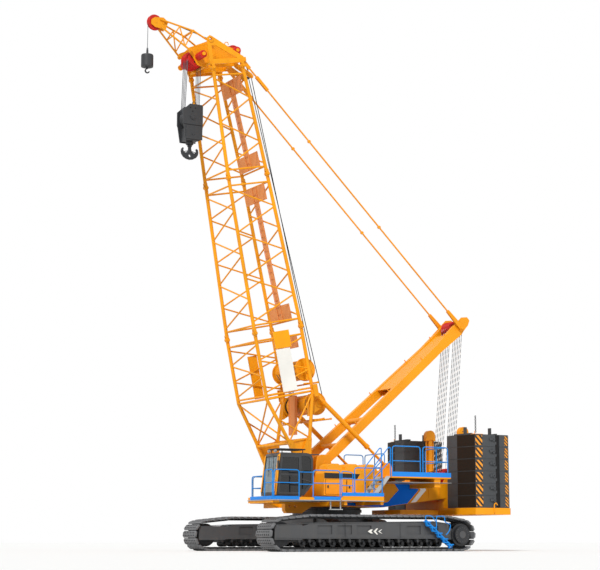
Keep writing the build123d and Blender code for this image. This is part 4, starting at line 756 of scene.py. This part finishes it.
# gate by the cab walkway, and the curved handrails of the stairs
GATE_FRONT, GATE_BACK = 1.22, 0.74
gate = [(GATE_FRONT, DECK_EDGE, DECK), (GATE_FRONT, DECK_EDGE, 2.98), (0.98, DECK_EDGE, 2.98),
        (GATE_BACK, DECK_EDGE, 2.93), (GATE_BACK, DECK_EDGE, DECK)]
bars = [[(GATE_FRONT, DECK_EDGE, z), (GATE_BACK, DECK_EDGE, z)] for z in (2.72, 2.45)]
rails.tubes([rounded(gate, 0.07)] + bars, 0.017)
for y in (2.5, 3.16):
    handrail = [(-0.28, y, DECK + 0.2), (-0.28, y, 3.2), (-0.95, y, 3.95), (-1.03, y, 3.95),
                (-1.03, y, PLATFORM)]
    rails.tubes([rounded(handrail, 0.12), [(-0.28, y, 2.75), (-1.03, y, 3.45)]], RAIL_R)
finish_off(rails, kick)

# blue boards along the edges of the decks, grey plates under them
boards = Piece("deck_side_boards", KICK_BLUE, "upperworks")
under = Piece("deck_side_plates", GREY_PLATE, "upperworks")
BOARD_IN, BOARD_OUT, BOARD_BEVEL = 3.33, 3.336, 0.001
boards.box((1.28, BOARD_IN, 1.905), (2.44, BOARD_OUT, 2.03), BOARD_BEVEL)
boards.box((3.06, BOARD_IN, 1.905), (4.226, BOARD_OUT, 2.03), BOARD_BEVEL)
boards.box((4.22, 1.6, 1.905), (4.226, BOARD_OUT, 2.03), BOARD_BEVEL)
boards.box((-0.62, BOARD_IN, 2.06), (1.22, BOARD_OUT, 2.192), BOARD_BEVEL)
under.box((1.28, 1.44, 1.868), (4.26, 3.352, 1.899))
under.box((-0.62, 2.9, 1.868), (1.24, 3.352, 1.899))
for side, front in ((1, -1.03), (-1, -2.64)):
    boards.side_box(side, (-3.76, 3.25, 2.84), (front, 3.256, 3.022), BOARD_BEVEL)
    boards.side_box(side, (-3.766, 1.48, 2.84), (-3.76, 3.256, 3.022), BOARD_BEVEL)
    under.side_box(side, (-3.78, 1.5, 2.62), (front - 0.02, 3.27, 2.637))
finish_off(boards, under)

nosing = Piece("stair_nosings", GREY_PLATE, "upperworks")
for k in range(4):
    x, z = -0.18 - 0.17 * k, 2.197 + 0.185 * k
    nosing.box((x - 0.03, 2.5, z), (x, 3.16, z + 0.008), 0.002)
nosing.done()

# ---------------------------------------------------------------- counterweights
STACK_Z, SLAB, SLABS, STACK_FACE, SLAB_EDGE = 1.69, 0.483, 6, 3.26, 0.055
STACK_TOP = STACK_Z + SLABS * SLAB
tape_black = Piece("warning_tape_black", BLACK, "upperworks")
tape_orange = Piece("warning_tape_orange", TAPE_ORANGE, "upperworks")
slots = Piece("weight_slots", PITS, "upperworks")
lugs = Piece("weight_lugs", WEIGHT, "upperworks")
# the dark corner plates are painted shade: they stand for the shadow on the slabs' slanted corner faces
shade = Piece("weight_painted_shade_corners", PAINTED_SHADE_BROWN, "upperworks")
tie = Piece("weight_hooks", YELLOW, "upperworks")


def clip(corners, level, sign):
    """The part of an outline above (sign 1) or below (sign -1) a level."""
    kept = []
    for (ax, az), (bx, bz) in zip(corners, corners[1:] + corners[:1]):
        a_in, b_in = sign * (az - level) >= 0, sign * (bz - level) >= 0
        if a_in:
            kept.append((ax, az))
        if a_in != b_in:
            f = (level - az) / (bz - az)
            kept.append((ax + f * (bx - ax), level))
    return kept


def tape(x0, x1, z0, z1, side):
    """A striped patch: an orange plate under slanted black bars cut to its edges."""
    face = side * (STACK_FACE + PAINT / 2)
    tape_orange.prism([(x0, z0), (x1, z0), (x1, z1), (x0, z1)], face, PAINT, 0)
    wide = x1 - x0
    bars = 3 if wide > 0.2 else 4
    step = (z1 - z0 + wide) / bars
    for k in range(bars):
        low = z0 - wide + step * (k + 0.25)
        corners = [(x0, low), (x1, low + wide), (x1, low + wide + step / 2), (x0, low + step / 2)]
        clipped = clip(clip(corners, z0, 1), z1, -1)
        if len(clipped) > 2:
            tape_black.prism(clipped, face + side * 0.002, 0.002, 0)


# the slabs' slanted front corner as seen from above, and how far its dark face of painted shade stands proud
# and stops short
CORNER_IN, CORNER_OUT, PROUD, SHORT = (-4.71, 2.33), (-4.93, 3.26), 0.003, 0.01


def painted_shade_corner(side):
    (ax, ay), (bx, by) = CORNER_IN, CORNER_OUT
    length = hypot(bx - ax, by - ay)
    nx, ny = PROUD * (by - ay) / length, -PROUD * (bx - ax) / length
    return [(ax + nx, side * (ay + ny)), (bx + nx, side * (by - SHORT + ny)), (bx, side * (by - SHORT)),
            (ax, side * ay)]


LUG_X = -5.8
for side in (1, -1):
    for k in range(SLABS):
        z0, z1 = STACK_Z + k * SLAB + SLAB_EDGE, STACK_Z + (k + 1) * SLAB - SLAB_EDGE
        tape(-5.28, -4.95, z0, z1, side)
        tape(-6.515, -6.36, z0, z1, side)
        # painted shade on the slab's slanted corner face
        shade.prism(painted_shade_corner(side), (z0 + z1) / 2, z1 - z0 + 0.08, 0, axis="Z")
        # lifting lugs beside the slot
        z = STACK_Z + (k + 0.62) * SLAB
        lugs.disc((LUG_X, side * (STACK_FACE + 0.03), z), ACROSS, 0.075, 0.07, sides=20)
        lugs.side_box(side, (-5.76, 3.25, z - 0.05), (-5.62, 3.31, z + 0.05))
        slots.disc((LUG_X, side * (STACK_FACE + 0.067), z), ACROSS, 0.022, 0.004, sides=12, bevel=0)
    low, high = STACK_Z + 0.01, STACK_TOP - 0.01
    slots.prism([(-5.91, low), (-6.11, low), (-6.11, high), (-5.91, high)], side * 3.217, 0.004, 0)
    # hook at the foot of the slot, and the seam of the tray
    y = side * 3.3
    tie.tubes([rounded([(-5.78, y, 1.5), (-5.78, y, 1.82), (-5.86, y, 1.9), (-5.93, y, 1.8)], 0.06)], 0.022)
    slots.side_box(side, (-5.795, 3.289, 1.44), (-5.785, 3.292, 1.68), 0)
    # lifting frame on top: bar ends, a base plate and the shackle of the standing chain
    for x in (-5.05, -6.25):
        lugs.side_box(side, (x - 0.09, 1.75, STACK_TOP), (x + 0.09, 1.95, STACK_TOP + 0.07))
    tie.side_box(side, (-5.45, 2.9, STACK_TOP), (-4.98, 3.1, STACK_TOP + 0.03))
    y, head = side * 3.0, STACK_TOP + 0.14
    tie.tubes([rounded([(-5.1, y, STACK_TOP), (-5.1, y, head), (-5.16, y, head)], 0.03)], 0.012)
finish_off(tape_black, tape_orange, slots, lugs, shade, tie)

# chains: down from the post heads, and standing on the stacks
chains = Piece("lifting_chains", CHAIN, "upperworks")
CHAIN_LINK, CHAIN_BAR = 0.085, 0.012
LINK_STEP = CHAIN_LINK * 0.72


def chain(top, length):
    """Round-bar links, every second one turned a quarter."""
    for k in range(int(length / LINK_STEP)):
        spot = Vector(top) - Vector((0, 0, k * LINK_STEP))
        chains.ring(spot, LENGTHWAYS if k % 2 else ACROSS, CHAIN_LINK * 0.36, CHAIN_BAR, sides=8, around=5)


post_bits = Piece("post_head_pins", STEEL, "upperworks")
for side in (1, -1):
    for x in (-5.93, -5.57):
        chain((x, side * 1.335, 4.62), 2.7)
    chain((-5.15, side * 3.0, STACK_TOP + 0.72), 0.7)
    for x, z, r in ((-5.75, 4.9, 0.035), (-5.68, 4.82, 0.02)):
        post_bits.disc((x, side * 1.34, z), ACROSS, r, 0.02, sides=16)
finish_off(chains, post_bits)

# ---------------------------------------------------------------- ropes
ROPE, HOIST_ROPE, TACKLE_ROPE = 0.014, 0.016, 0.012  # radii
MAIN, REAR, TIP = (pivot(j) for j in ("head_sheaves_turn", "rear_sheaves_turn", "tip_sheave_turn"))
UPPER_DRUM, LOWER_DRUM = pivot("upper_hoist_turn"), pivot("lower_hoist_turn")
DRUM, BLOCK = pivot("luffing_drum_turn"), pivot("hook_sheaves_turn")
MAST_HEAD, LOW_BLOCK = pivot("upper_rope_block_turn"), pivot("lower_rope_block_turn")
REAR_GROOVE, MAIN_GROOVE, TIP_GROOVE, GROOVE_SEAT = 0.27, 0.325, 0.265, 0.014


def arc(centre, radius, start, end, y, steps=10):
    """Points round a wheel, angles measured up the boom from forward."""
    turns = [start + (end - start) * k / steps for k in range(steps + 1)]
    return [Vector((centre.x, y, centre.z)) + (FORE_BOOM * cos(a) + UP_BOOM * sin(a)) * radius for a in turns]


# a guide roller on two arms holds the ropes clear of the boom's rear, below the head
GUIDE_S, GUIDE_N, GUIDE_R = 16.2, -1.32, 0.06
guide = Piece("rope_guide_roller", STEEL, "boom")
guide.disc(on_boom(GUIDE_S, GUIDE_N, 0.11), ACROSS, GUIDE_R, 0.5, sides=20)
guide.done()
guide_arms = Piece("rope_guide_arms", BOOM_YELLOW, "boom")
arm = boom_outline((16.82, -0.70), (16.70, -0.58), (16.56, -0.66), (16.12, -1.26), (16.10, -1.36),
                   (16.20, -1.42), (16.30, -1.36))
for y in (-0.16, 0.38):
    guide_arms.prism(arm, y, 0.03)
    guide_arms.disc(on_boom(GUIDE_S, GUIDE_N, y), ACROSS, 0.045, 0.06, sides=16)
guide_arms.done()

# each rope leaves its drum at the back, passes the guide and runs in its wheels' grooves
hoist = Piece("hoist_ropes", WIRE, "boom")
WOUND, DRUM_SIDE = 0.4, 0.86
for drum, y_rear, onward, groove, y_onward in ((UPPER_DRUM, 0.22, MAIN, MAIN_GROOVE, 0.198),
                                               (LOWER_DRUM, 0.0, TIP, TIP_GROOVE, 0.0)):
    path = [drum - FORE_BOOM * WOUND + sideways(DRUM_SIDE),
            on_boom(GUIDE_S, GUIDE_N - GUIDE_R - HOIST_ROPE, y_rear)]
    path += arc(REAR, REAR_GROOVE, pi, pi / 2, y_rear)
    path += arc(onward, groove + GROOVE_SEAT, pi / 2, 0.1, y_onward)
    hoist.tubes([path], HOIST_ROPE)
hoist.done()

# main falls, from the head wheels to the hook block: the front leg drops from its wheel, and the rear leg
# bends round the front of the head's cross tube
falls = Piece("main_falls", FALL, "main_hook_block")
LEG_SKEW, BLOCK_REACH = 0.012, 0.315
FALL_YS, BLOCK_YS = (-0.198, -0.066, 0.066, 0.198), (-0.168, -0.056, 0.056, 0.168)
for y_top, y_low in zip(FALL_YS, BLOCK_YS):
    front = [(MAIN.x + 0.335, y_top + LEG_SKEW, MAIN.z), (BLOCK.x + BLOCK_REACH, y_low + LEG_SKEW, BLOCK.z)]
    rear = [(MAIN.x - 0.303, y_top - LEG_SKEW, MAIN.z - 0.143),
            (MAIN.x - 0.230, y_top - LEG_SKEW, MAIN.z - 0.30),
            (BLOCK.x - BLOCK_REACH, y_low - LEG_SKEW, BLOCK.z)]
    falls.tubes([front, rear], ROPE)
falls.done()
small_rope = Piece("small_hoist_rope", FALL, "aux_hook")
SMALL_X = TIP.x + 0.288
small_rope.tubes([[(TIP.x + 0.279, 0, TIP.z), (SMALL_X, 0, 19.31)]], 0.012)
small_rope.disc((SMALL_X, 0, 19.36), UPWARD, 0.035, 0.1, sides=16)
small_rope.done()

# luffing tackle, in two halves that slide past each other as the boom comes down
HALF_LENGTH, WHEEL_EDGE = 5.65, 0.295
TACKLE_YS = (-0.30, -0.18, -0.06, 0.06, 0.18, 0.30)
for name, body, start, end, thick, flip in (
        ("upper_tackle_ropes", "upper_rope_block", MAST_HEAD, LOW_BLOCK, TACKLE_ROPE, 1),
        ("lower_tackle_ropes", "lower_rope_block", LOW_BLOCK, MAST_HEAD, TACKLE_ROPE * 0.93, -1)):
    tackle = Piece(name, TACKLE, body)
    run = (end - start).normalized()
    square = Vector((run.z, 0, -run.x)) * flip
    for y in TACKLE_YS:
        for sign in (1, -1):
            foot = start + (square * sign * WHEEL_EDGE + sideways(y))
            tackle.tubes([[foot, foot + run * HALF_LENGTH]], thick)
    tackle.done()

# luffing rope from its drum to the lower block, and the wound drums
luff_rope = Piece("luffing_rope", WIRE, "upperworks")
luff_rope.tubes([[DRUM + Vector((0, side * 0.2, 0.29)), LOW_BLOCK + Vector((0.05, side * 0.24, 0.29))]
                 for side in (1, -1)], ROPE)
luff_rope.done()
for name, body, centre, low, high, radius, count, material in (
        ("upper_hoist_windings", "upper_hoist_drum", UPPER_DRUM, 0.72, 0.88, 0.384, 6, WIRE),
        ("lower_hoist_windings", "lower_hoist_drum", LOWER_DRUM, 0.75, 0.88, 0.384, 5, WIRE),
        ("lower_hoist_far_windings", "lower_hoist_drum", LOWER_DRUM, -0.88, -0.80, 0.384, 4, WIRE),
        ("upper_hoist_grooves", "upper_hoist_drum", UPPER_DRUM, -0.88, 0.69, 0.375, 46, BOOM_YELLOW),
        ("lower_hoist_grooves", "lower_hoist_drum", LOWER_DRUM, -0.77, 0.72, 0.375, 44, BOOM_YELLOW),
        ("luffing_windings", "luffing_drum", DRUM, -0.95, 0.95, 0.26, 60, WIRE)):
    coils = Piece(name, material, body)
    for k in range(count):
        y = low + (high - low) * k / (count - 1)
        coils.ring(centre + sideways(y), ACROSS, radius, 0.016, sides=28, around=6)
    coils.done()

# drum ends: a raised rim, hub and bolts
for name, body, centre in (("upper_drum_ends", "upper_hoist_drum", UPPER_DRUM),
                           ("lower_drum_ends", "lower_hoist_drum", LOWER_DRUM)):
    ends = Piece(name, BOOM_YELLOW, body)
    for side in (1, -1):
        face, outward = centre + sideways(side * 0.953), (0, side, 0)
        ends.ring(face, ACROSS, 0.43, 0.014, sides=32, around=6)
        ends.disc(face, ACROSS, 0.15, 0.05)
        ends.disc(face, ACROSS, 0.07, 0.11, sides=20)
        ends.bolts(circle_spots(face + sideways(side * 0.012), outward, 0.24, 16), outward, 0.016, 0.016)
    ends.done()

# ---------------------------------------------------------------- boom
pins = Piece("boom_joint_pins", BRIGHT, "boom")
keepers = Piece("boom_pin_keepers", BOOM_YELLOW, "boom")
for s, n, w in ((5.95, 1.035, 1.2), (12.1, 0.865, 1.02), (16.5, 0.66, 1.0)):
    for spot, side in [(on_boom(s, chord * n, side * w), side) for chord in (1, -1) for side in (1, -1)]:
        pins.disc(spot, ACROSS, 0.036, 0.21, sides=16)
        for out in (0.105, -0.105):
            keepers.disc(spot + sideways(side * out), ACROSS, 0.05, 0.02, sides=16)
finish_off(pins, keepers)

# plates between the legs above each foot pin, and tube ends past the winches
foot_plates = Piece("boom_foot_plates", BOOM_YELLOW, "boom")
for y in (1.27, -1.27):
    foot_plates.prism(boom_outline((0.50, 0.12), (1.57, 0.48), (1.57, -0.52), (0.50, -0.12)), y, 0.02)
    foot_plates.prism(boom_outline((1.57, 0.48), (1.61, 0.49), (1.61, -0.53), (1.57, -0.52)), y, 0.09)
foot_plates.done()
stubs = Piece("winch_cross_tubes", BOOM_YELLOW, "boom")
for s, n in ((3.66, -1.33), (2.22, -1.30), (2.16, -1.62)):
    stubs.tubes([[on_boom(s, n, -1.2), on_boom(s, n, 1.2)]], 0.032)
    for side in (1, -1):
        stubs.disc(on_boom(s, n, side * 1.205), ACROSS, 0.045, 0.03, sides=16)
        stubs.tubes([[on_boom(s, n, side * 1.12), on_boom(s + 0.05, -0.72, side * 1.16)]], 0.026)
stubs.done()
tray = Piece("boom_hose_tray", SALMON, "boom")
low, high = on_boom(1.78, -0.48), on_boom(3.30, -0.79)
run = (high - low).normalized()
square = Vector((run.z, 0, -run.x))
tray.prism(flat((low, high, high + square * 0.03, low + square * 0.03)), 0.0, 0.5)
lip = flat((low - square * 0.05, high - square * 0.05, high + square * 0.06, low + square * 0.06))
for y in (-0.25, 0.25):
    tray.prism(lip, y, 0.02)
tray.done()
hoses = Piece("boom_hoses", PLASTIC, "boom")
for k, y in enumerate((-0.15, -0.09, -0.03, 0.05, 0.13)):
    sunk = sideways(y) - square * 0.02
    route = [low + sunk, high + sunk, on_boom(3.85, -0.60, y * 2.2), on_boom(4.24, -0.48 - 0.01 * k, y * 3.0)]
    hoses.tubes([rounded(route, 0.3)], 0.014)
hoses.done()

# plain boards on the boom's sides; the white one lies over its carrier
BOARD_FACE = 1.25
plain_boards = Piece("orange_boards", BOARD_ORANGE, "boom")
for side, s0, s1, n0, n1 in ((1, 5.22, 5.89, -0.43, 0.29), (-1, 3.43, 5.16, -0.17, 0.25)):
    plain_boards.prism(boom_outline((s0, n0), (s1, n0), (s1, n1), (s0, n1)), side * BOARD_FACE, 0.027, 0.002)
plain_boards.done()
board = Piece("white_board", WHITE, "boom")
board.prism(boom_outline((3.54, -0.34), (5.17, -0.34), (5.17, 0.27), (3.54, 0.27)), 1.2635, PAINT, 0)
board.done()

# walkway: side bars and treads inside the rear face
walk_bars = Piece("boom_walk_bars", SALMON, "boom")
WALK_HALF, TREAD_STEP = 0.16, 0.28
for s0, s1, n0, n1 in ((6.3, 11.75, -0.91, -0.75), (12.45, 16.15, -0.735, -0.565)):
    for y in (-WALK_HALF, WALK_HALF):
        walk_bars.tubes([[on_boom(s0, n0 + 0.05, y), on_boom(s1, n1 + 0.05, y)]], 0.018, detail=1)
    count = int((s1 - s0) / TREAD_STEP)
    for k in range(count + 1):
        s, n = s0 + (s1 - s0) * k / count, n0 + (n1 - n0) * k / count + 0.045
        walk_bars.tubes([[on_boom(s, n, -WALK_HALF), on_boom(s, n, WALK_HALF)]], 0.011, detail=1)
walk_bars.done()

# head: bolted shaft caps, the shaft's right end, rings round the ears, a bent bracket and two struts
head_bits = Piece("head_details", BOOM_YELLOW, "boom")
for y in (-0.47, 0.47):
    for centre in (MAIN, REAR):
        head_bits.disc(centre + sideways(y), ACROSS, 0.13, 0.07, sides=20)
        spots = circle_spots(centre + sideways(y * 1.09), (0, y, 0), 0.095, 6)
        head_bits.bolts(spots, (0, y, 0), 0.014, 0.014)
head_bits.tubes([[MAIN + sideways(-0.95), MAIN + sideways(-1.22)]], 0.05)
head_bits.disc(MAIN + sideways(-1.22), ACROSS, 0.11, 0.05, sides=20)
EAR = on_boom(17.64, 0.56)
for side in (1, -1):
    for y in (1.033, 0.967):
        head_bits.ring(EAR + sideways(side * y), ACROSS, 0.085, 0.018, around=6)
bracket = [on_boom(s, n, 0.45) for s, n in ((17.25, -0.35), (17.62, -0.35), (17.62, -0.5), (17.5, -0.5))]
head_bits.tubes([rounded(bracket, 0.07)], 0.016)
for y in (-0.44, 0.44):
    head_bits.tubes([[on_boom(17.5, 1.18, y), on_boom(17.62, 0.2, y)]], 0.016)
head_bits.done()

sleeves = Piece("head_shaft_sleeves", RED, "boom")
SLEEVE_IN = 0.47
for centre, far in ((MAIN, 0.93), (REAR, 0.62)):
    for side in (1, -1):
        sleeves.disc(centre + sideways(side * (SLEEVE_IN + far) / 2), ACROSS, 0.15, far - SLEEVE_IN, sides=28)
sleeves.done()

# ---------------------------------------------------------------- wheels: rims and hubs
for name, body, centre, radius, ys in (
        ("head_wheel", "head_sheaves", MAIN, 0.37, (-0.33, -0.198, -0.066, 0.066, 0.198, 0.33)),
        ("rear_wheel", "rear_sheaves", REAR, 0.30, (-0.22, 0.0, 0.22)),
        ("tip_wheel", "tip_sheave", TIP, 0.31, (0.0,)),
        ("mast_wheel", "upper_rope_block", MAST_HEAD, 0.33, TACKLE_YS),
        ("low_wheel", "lower_rope_block", LOW_BLOCK, 0.33, TACKLE_YS),
        ("block_wheel", "hook_sheaves", BLOCK, 0.345, BLOCK_YS)):
    hubs = Piece(f"{name}_hubs", HOOK if body == "hook_sheaves" else WHEEL_HUB, body)
    pockets = Piece(f"{name}_pockets", PITS, body)
    for y in (min(ys), max(ys)):
        face = centre + sideways(y + (0.052 if y == max(ys) else -0.052))
        hubs.ring(face, ACROSS, radius * 0.34, 0.012, around=6)
        hubs.ring(face, ACROSS, radius * 0.86, 0.008, sides=32, around=5)
        for spot in circle_spots(face, ACROSS, radius * 0.6, 6):
            pockets.disc(spot, ACROSS, radius * 0.13, 0.004, sides=16, bevel=0)
    finish_off(hubs, pockets)

# ---------------------------------------------------------------- hook block and hooks
HX, CHEEK = BLOCK.x, 0.3
block_bits = Piece("hook_block_details", HOOK, "main_hook_block")
for side in (-1, 1):
    outward = (0, side, 0)
    block_bits.disc((HX, side * CHEEK * 1.03, BLOCK.z), ACROSS, 0.11, 0.03, sides=20)
    spots = circle_spots((HX, side * CHEEK * 1.08, BLOCK.z), outward, 0.08, 6)
    block_bits.bolts(spots, outward, 0.012, 0.012)
    block_bits.side_box(side, (HX - 0.40, CHEEK, 15.9), (HX + 0.30, CHEEK + 0.025, 16.47), 0.01)
    block_bits.disc((HX, side * (CHEEK + 0.03), 16.12), ACROSS, 0.05, 0.03, sides=16)
handle = [(HX + x, 0.275, z) for x, z in ((-0.1, 17.3), (-0.1, 17.42), (0.02, 17.42), (0.02, 17.3))]
block_bits.tubes([rounded(handle, 0.05)], 0.014)
block_bits.disc((HX, 0, 15.8), UPWARD, 0.15, 0.1, sides=28)
block_bits.done()
block_holes = Piece("hook_block_holes", PITS, "main_hook_block")
for dx, z in ((-0.1, 17.17), (0.12, 17.17), (0.02, 17.03)):
    for side in (1, -1):
        block_holes.disc((HX + dx, side * 0.301, z), ACROSS, 0.028, 0.004, sides=14, bevel=0)
for side in (1, -1):
    block_holes.side_box(side, (HX - 0.41, CHEEK, 16.475), (HX + 0.41, CHEEK + 0.003, 16.5), 0)
block_holes.done()
latch = Piece("hook_latches", STEEL, "main_hook")
for sign in (1, -1):
    latch.tubes([[(HX + sign * 0.07, 0, 15.5), (HX + sign * 0.27, 0, 15.44)]], 0.014)
latch.disc((HX, 0, 15.71), UPWARD, 0.095, 0.05, sides=6)
latch.done()

# ---------------------------------------------------------------- mast and backstops
mast_bits = Piece("mast_details", YELLOW, "mast")
MAST_LENGTH, MAST_HALF_FOOT, MAST_TAPER = 9.0, 0.91, 0.41
tip_outline = flat(on_mast(s, n) for s, n in ((8.45, 0.24), (9.35, 0.30), (9.6, 0.13), (9.6, -0.05),
                                              (9.4, -0.16), (8.7, -0.26)))
for side in (1, -1):
    mast_bits.prism(tip_outline, side * 0.585, 0.03)
    mast_bits.disc(on_mast(MAST_LENGTH, 0, side * 0.61), ACROSS, 0.13, 0.04)
    for s in (2.3, 4.4, 6.6, 8.2):
        y = side * (MAST_HALF_FOOT - MAST_TAPER * s / MAST_LENGTH)
        mast_bits.tubes([[on_mast(s, 0.17, y), on_mast(s, 0.29, y)]], 0.022)
mast_bits.done()

collars = Piece("backstop_collars", YELLOW, "backstop_tubes")
STOP_FOOT, STOP_Y = pivot("backstop_swing"), 1.352
lean = (on_boom(3.25, -1.03) - STOP_FOOT).normalized()
for side in (1, -1):
    foot = STOP_FOOT + sideways(side * STOP_Y)
    for along, radius, width in ((1.13, 0.104, 0.05), (3.7, 0.1, 0.05), (2.4, 0.098, 0.03)):
        collars.disc(foot + lean * along, lean, radius, width, sides=28)
collars.done()

# ---------------------------------------------------------------- cab
CAB_FRONT_LOW, CAB_FRONT_TOP = Vector((3.872, 0, 2.2)), Vector((3.692, 0, 3.56))


def on_front(f, out=0.0, y=0.0):
    """A point up the front window, from 0 at its foot to 1 at its top."""
    return CAB_FRONT_LOW.lerp(CAB_FRONT_TOP, f) + Vector((out, y, 0))


pillar = Piece("cab_front_pillar", HOUSE, "upperworks")
pillar.prism([(3.872, 2.08), (3.82, 2.08), (3.648, 3.6), (3.70, 3.6)], 2.925, 0.06, 0.012)
edge = flat((on_front(0), on_front(0, 0.014), on_front(1, 0.014), on_front(1)))
for y in (2.865, 1.825):
    pillar.prism(edge, y, 0.07, 0.004)
pillar.done()

GUARD_Z, GUARD_IN, GUARD_OUT = 3.79, 1.95, 2.78
rack = Piece("cab_roof_guard", BLACK, "upperworks")
loop = [(x, y, GUARD_Z) for x, y in ((3.0, GUARD_IN), (3.66, GUARD_IN), (3.66, GUARD_OUT), (2.48, GUARD_OUT),
                                     (2.48, GUARD_IN), (3.0, GUARD_IN))]
rack.tubes([rounded(loop, 0.1)], 0.022)
rack.tubes([[(x, GUARD_IN, 3.785), (x, GUARD_OUT, 3.785)] for x in (2.7, 2.9, 3.1, 3.3, 3.5)], 0.014)
rack.tubes([[(x, y, 3.63), (x, y, GUARD_Z)] for x in (2.62, 3.5) for y in (GUARD_IN, GUARD_OUT)], 0.018)
rack.box((2.45, 1.86, 3.64), (3.55, 2.84, 3.655))
# two wipers, each an arm and a blade; a grab bar; a mirror on its arm
for y in (2.18, 2.52):
    rack.tubes([[on_front(0.98, 0.03, y), on_front(0.55, 0.03, y + 0.12)]], 0.009)
    rack.tubes([[on_front(0.85, 0.022, y + 0.05), on_front(0.42, 0.022, y + 0.08)]], 0.006)
grab_bar = [(3.77, 2.96, 2.55), (3.77, 3.0, 2.58), (3.72, 3.0, 2.95), (3.72, 2.96, 2.98)]
rack.tubes([rounded(grab_bar, 0.03)], 0.011)
rack.tubes([rounded([(3.70, 2.93, 3.5), (3.82, 3.08, 3.5), (3.82, 3.08, 3.3)], 0.05)], 0.012)
rack.box((3.80, 3.02, 3.02), (3.84, 3.16, 3.34), 0.015)
rack.done()

# the quarter light's cross bar, the roof edge, and the post between the quarter light and the door
trims = Piece("cab_side_trim", CAB, "upperworks")
for outline in ([(2.30, 2.55), (2.30, 2.59), (2.74, 2.70), (2.74, 2.655)],
                [(2.34, 3.56), (2.42, 3.62), (3.60, 3.62), (3.66, 3.56), (3.66, 3.53), (2.36, 3.53)],
                [(2.73, 2.30), (2.80, 2.10), (2.84, 2.10), (2.80, 2.45), (2.80, 3.52), (2.73, 3.52)]):
    trims.prism(outline, 2.906, 0.012)
trims.done()
lights = Piece("work_lights", GREY_PLATE, "upperworks")
DOWNWARD = (1, 0, -0.3)
for spot in ((3.68, 2.1, 3.72), (3.68, 2.6, 3.72), (1.3, 1.3, 3.02)):
    lights.disc(spot, DOWNWARD, 0.055, 0.06, sides=18)
for y in (2.1, 2.6):
    lights.disc((3.73, y, 3.707), DOWNWARD, 0.045, 0.01, sides=18)
lights.done()


# ---------------------------------------------------------------- stage, light, camera
def matt(name, color):
    mat = bpy.data.materials.new(name)
    mat.use_nodes = True
    shader = mat.node_tree.nodes["Principled BSDF"]
    for label, value in (("Base Color", color), ("Roughness", 0.95), ("Specular IOR Level", 0.1)):
        shader.inputs[label].default_value = value
    return mat


bm = bmesh.new()
bmesh.ops.create_grid(bm, x_segments=1, y_segments=1, size=400)
floor_mesh = bpy.data.meshes.new("floor")
bm.to_mesh(floor_mesh)
bm.free()
floor_mesh.materials.append(matt("pale_floor", (0.93, 0.93, 0.92, 1)))
floor = bpy.data.objects.new("floor", floor_mesh)
bpy.context.collection.objects.link(floor)
floor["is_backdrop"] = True

# the world is dim where it lights the crane, and white where the camera, a reflection or glass sees it
AMBIENT = 0.45
world = bpy.data.worlds.new("studio")
bpy.context.scene.world = world
world.use_nodes = True
sky = world.node_tree
background = sky.nodes["Background"]
rays = sky.nodes.new("ShaderNodeLightPath").outputs
seen = calc(sky, "MAXIMUM", calc(sky, "MAXIMUM", rays["Is Camera Ray"], rays["Is Glossy Ray"]),
            rays["Is Transmission Ray"])
background.inputs["Color"].default_value = (1, 1, 1, 1)
sky.links.new(ramp(sky, seen, 0.0, 1.0, AMBIENT, 1.0), background.inputs["Strength"])


def sun(name, energy, spot, aim, spread):
    """A sun lamp standing at a spot and shining at another; its spread in degrees softens the shadow."""
    data = bpy.data.lights.new(name, "SUN")
    data.energy = energy
    data.angle = radians(spread)
    obj = bpy.data.objects.new(name, data)
    obj.location = spot
    obj.rotation_euler = (Vector(aim) - Vector(spot)).to_track_quat("-Z", "Y").to_euler()
    bpy.context.collection.objects.link(obj)


sun("key", 2.6, (30, 30, 45), (0, 0, 5), 12)
sun("fill", 0.35, (-30, 40, 20), (0, 0, 8), 60)

# Camera standing low at the front left, looking slightly up. Its bearing, tilt and swing are in degrees.
BEARING, DISTANCE, EYE_HEIGHT, TILT, SWING = 29.858, 63.59, 0.368, 9.188, 0.945
SENSOR, FOCAL_WIDTHS = 36, 2.644016667  # the sensor's width in mm, and the focal length in frame widths
stand = Vector((DISTANCE * sin(radians(BEARING)), DISTANCE * cos(radians(BEARING)), EYE_HEIGHT))
heading, tilt = atan2(-stand.y, -stand.x) + radians(SWING), radians(TILT)
gaze = Vector((cos(heading) * cos(tilt), sin(heading) * cos(tilt), sin(tilt)))
cam_data = bpy.data.cameras.new("camera")
cam_data.sensor_width = SENSOR
cam_data.lens = SENSOR * FOCAL_WIDTHS
cam_data.clip_end = 1000
camera = bpy.data.objects.new("camera", cam_data)
camera.location = stand + Vector((SLEW_X, 0, 0))
camera.rotation_euler = gaze.to_track_quat("-Z", "Y").to_euler()
bpy.context.collection.objects.link(camera)
scene = bpy.context.scene
scene.camera = camera
scene.view_settings.view_transform = "Standard"

low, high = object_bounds()
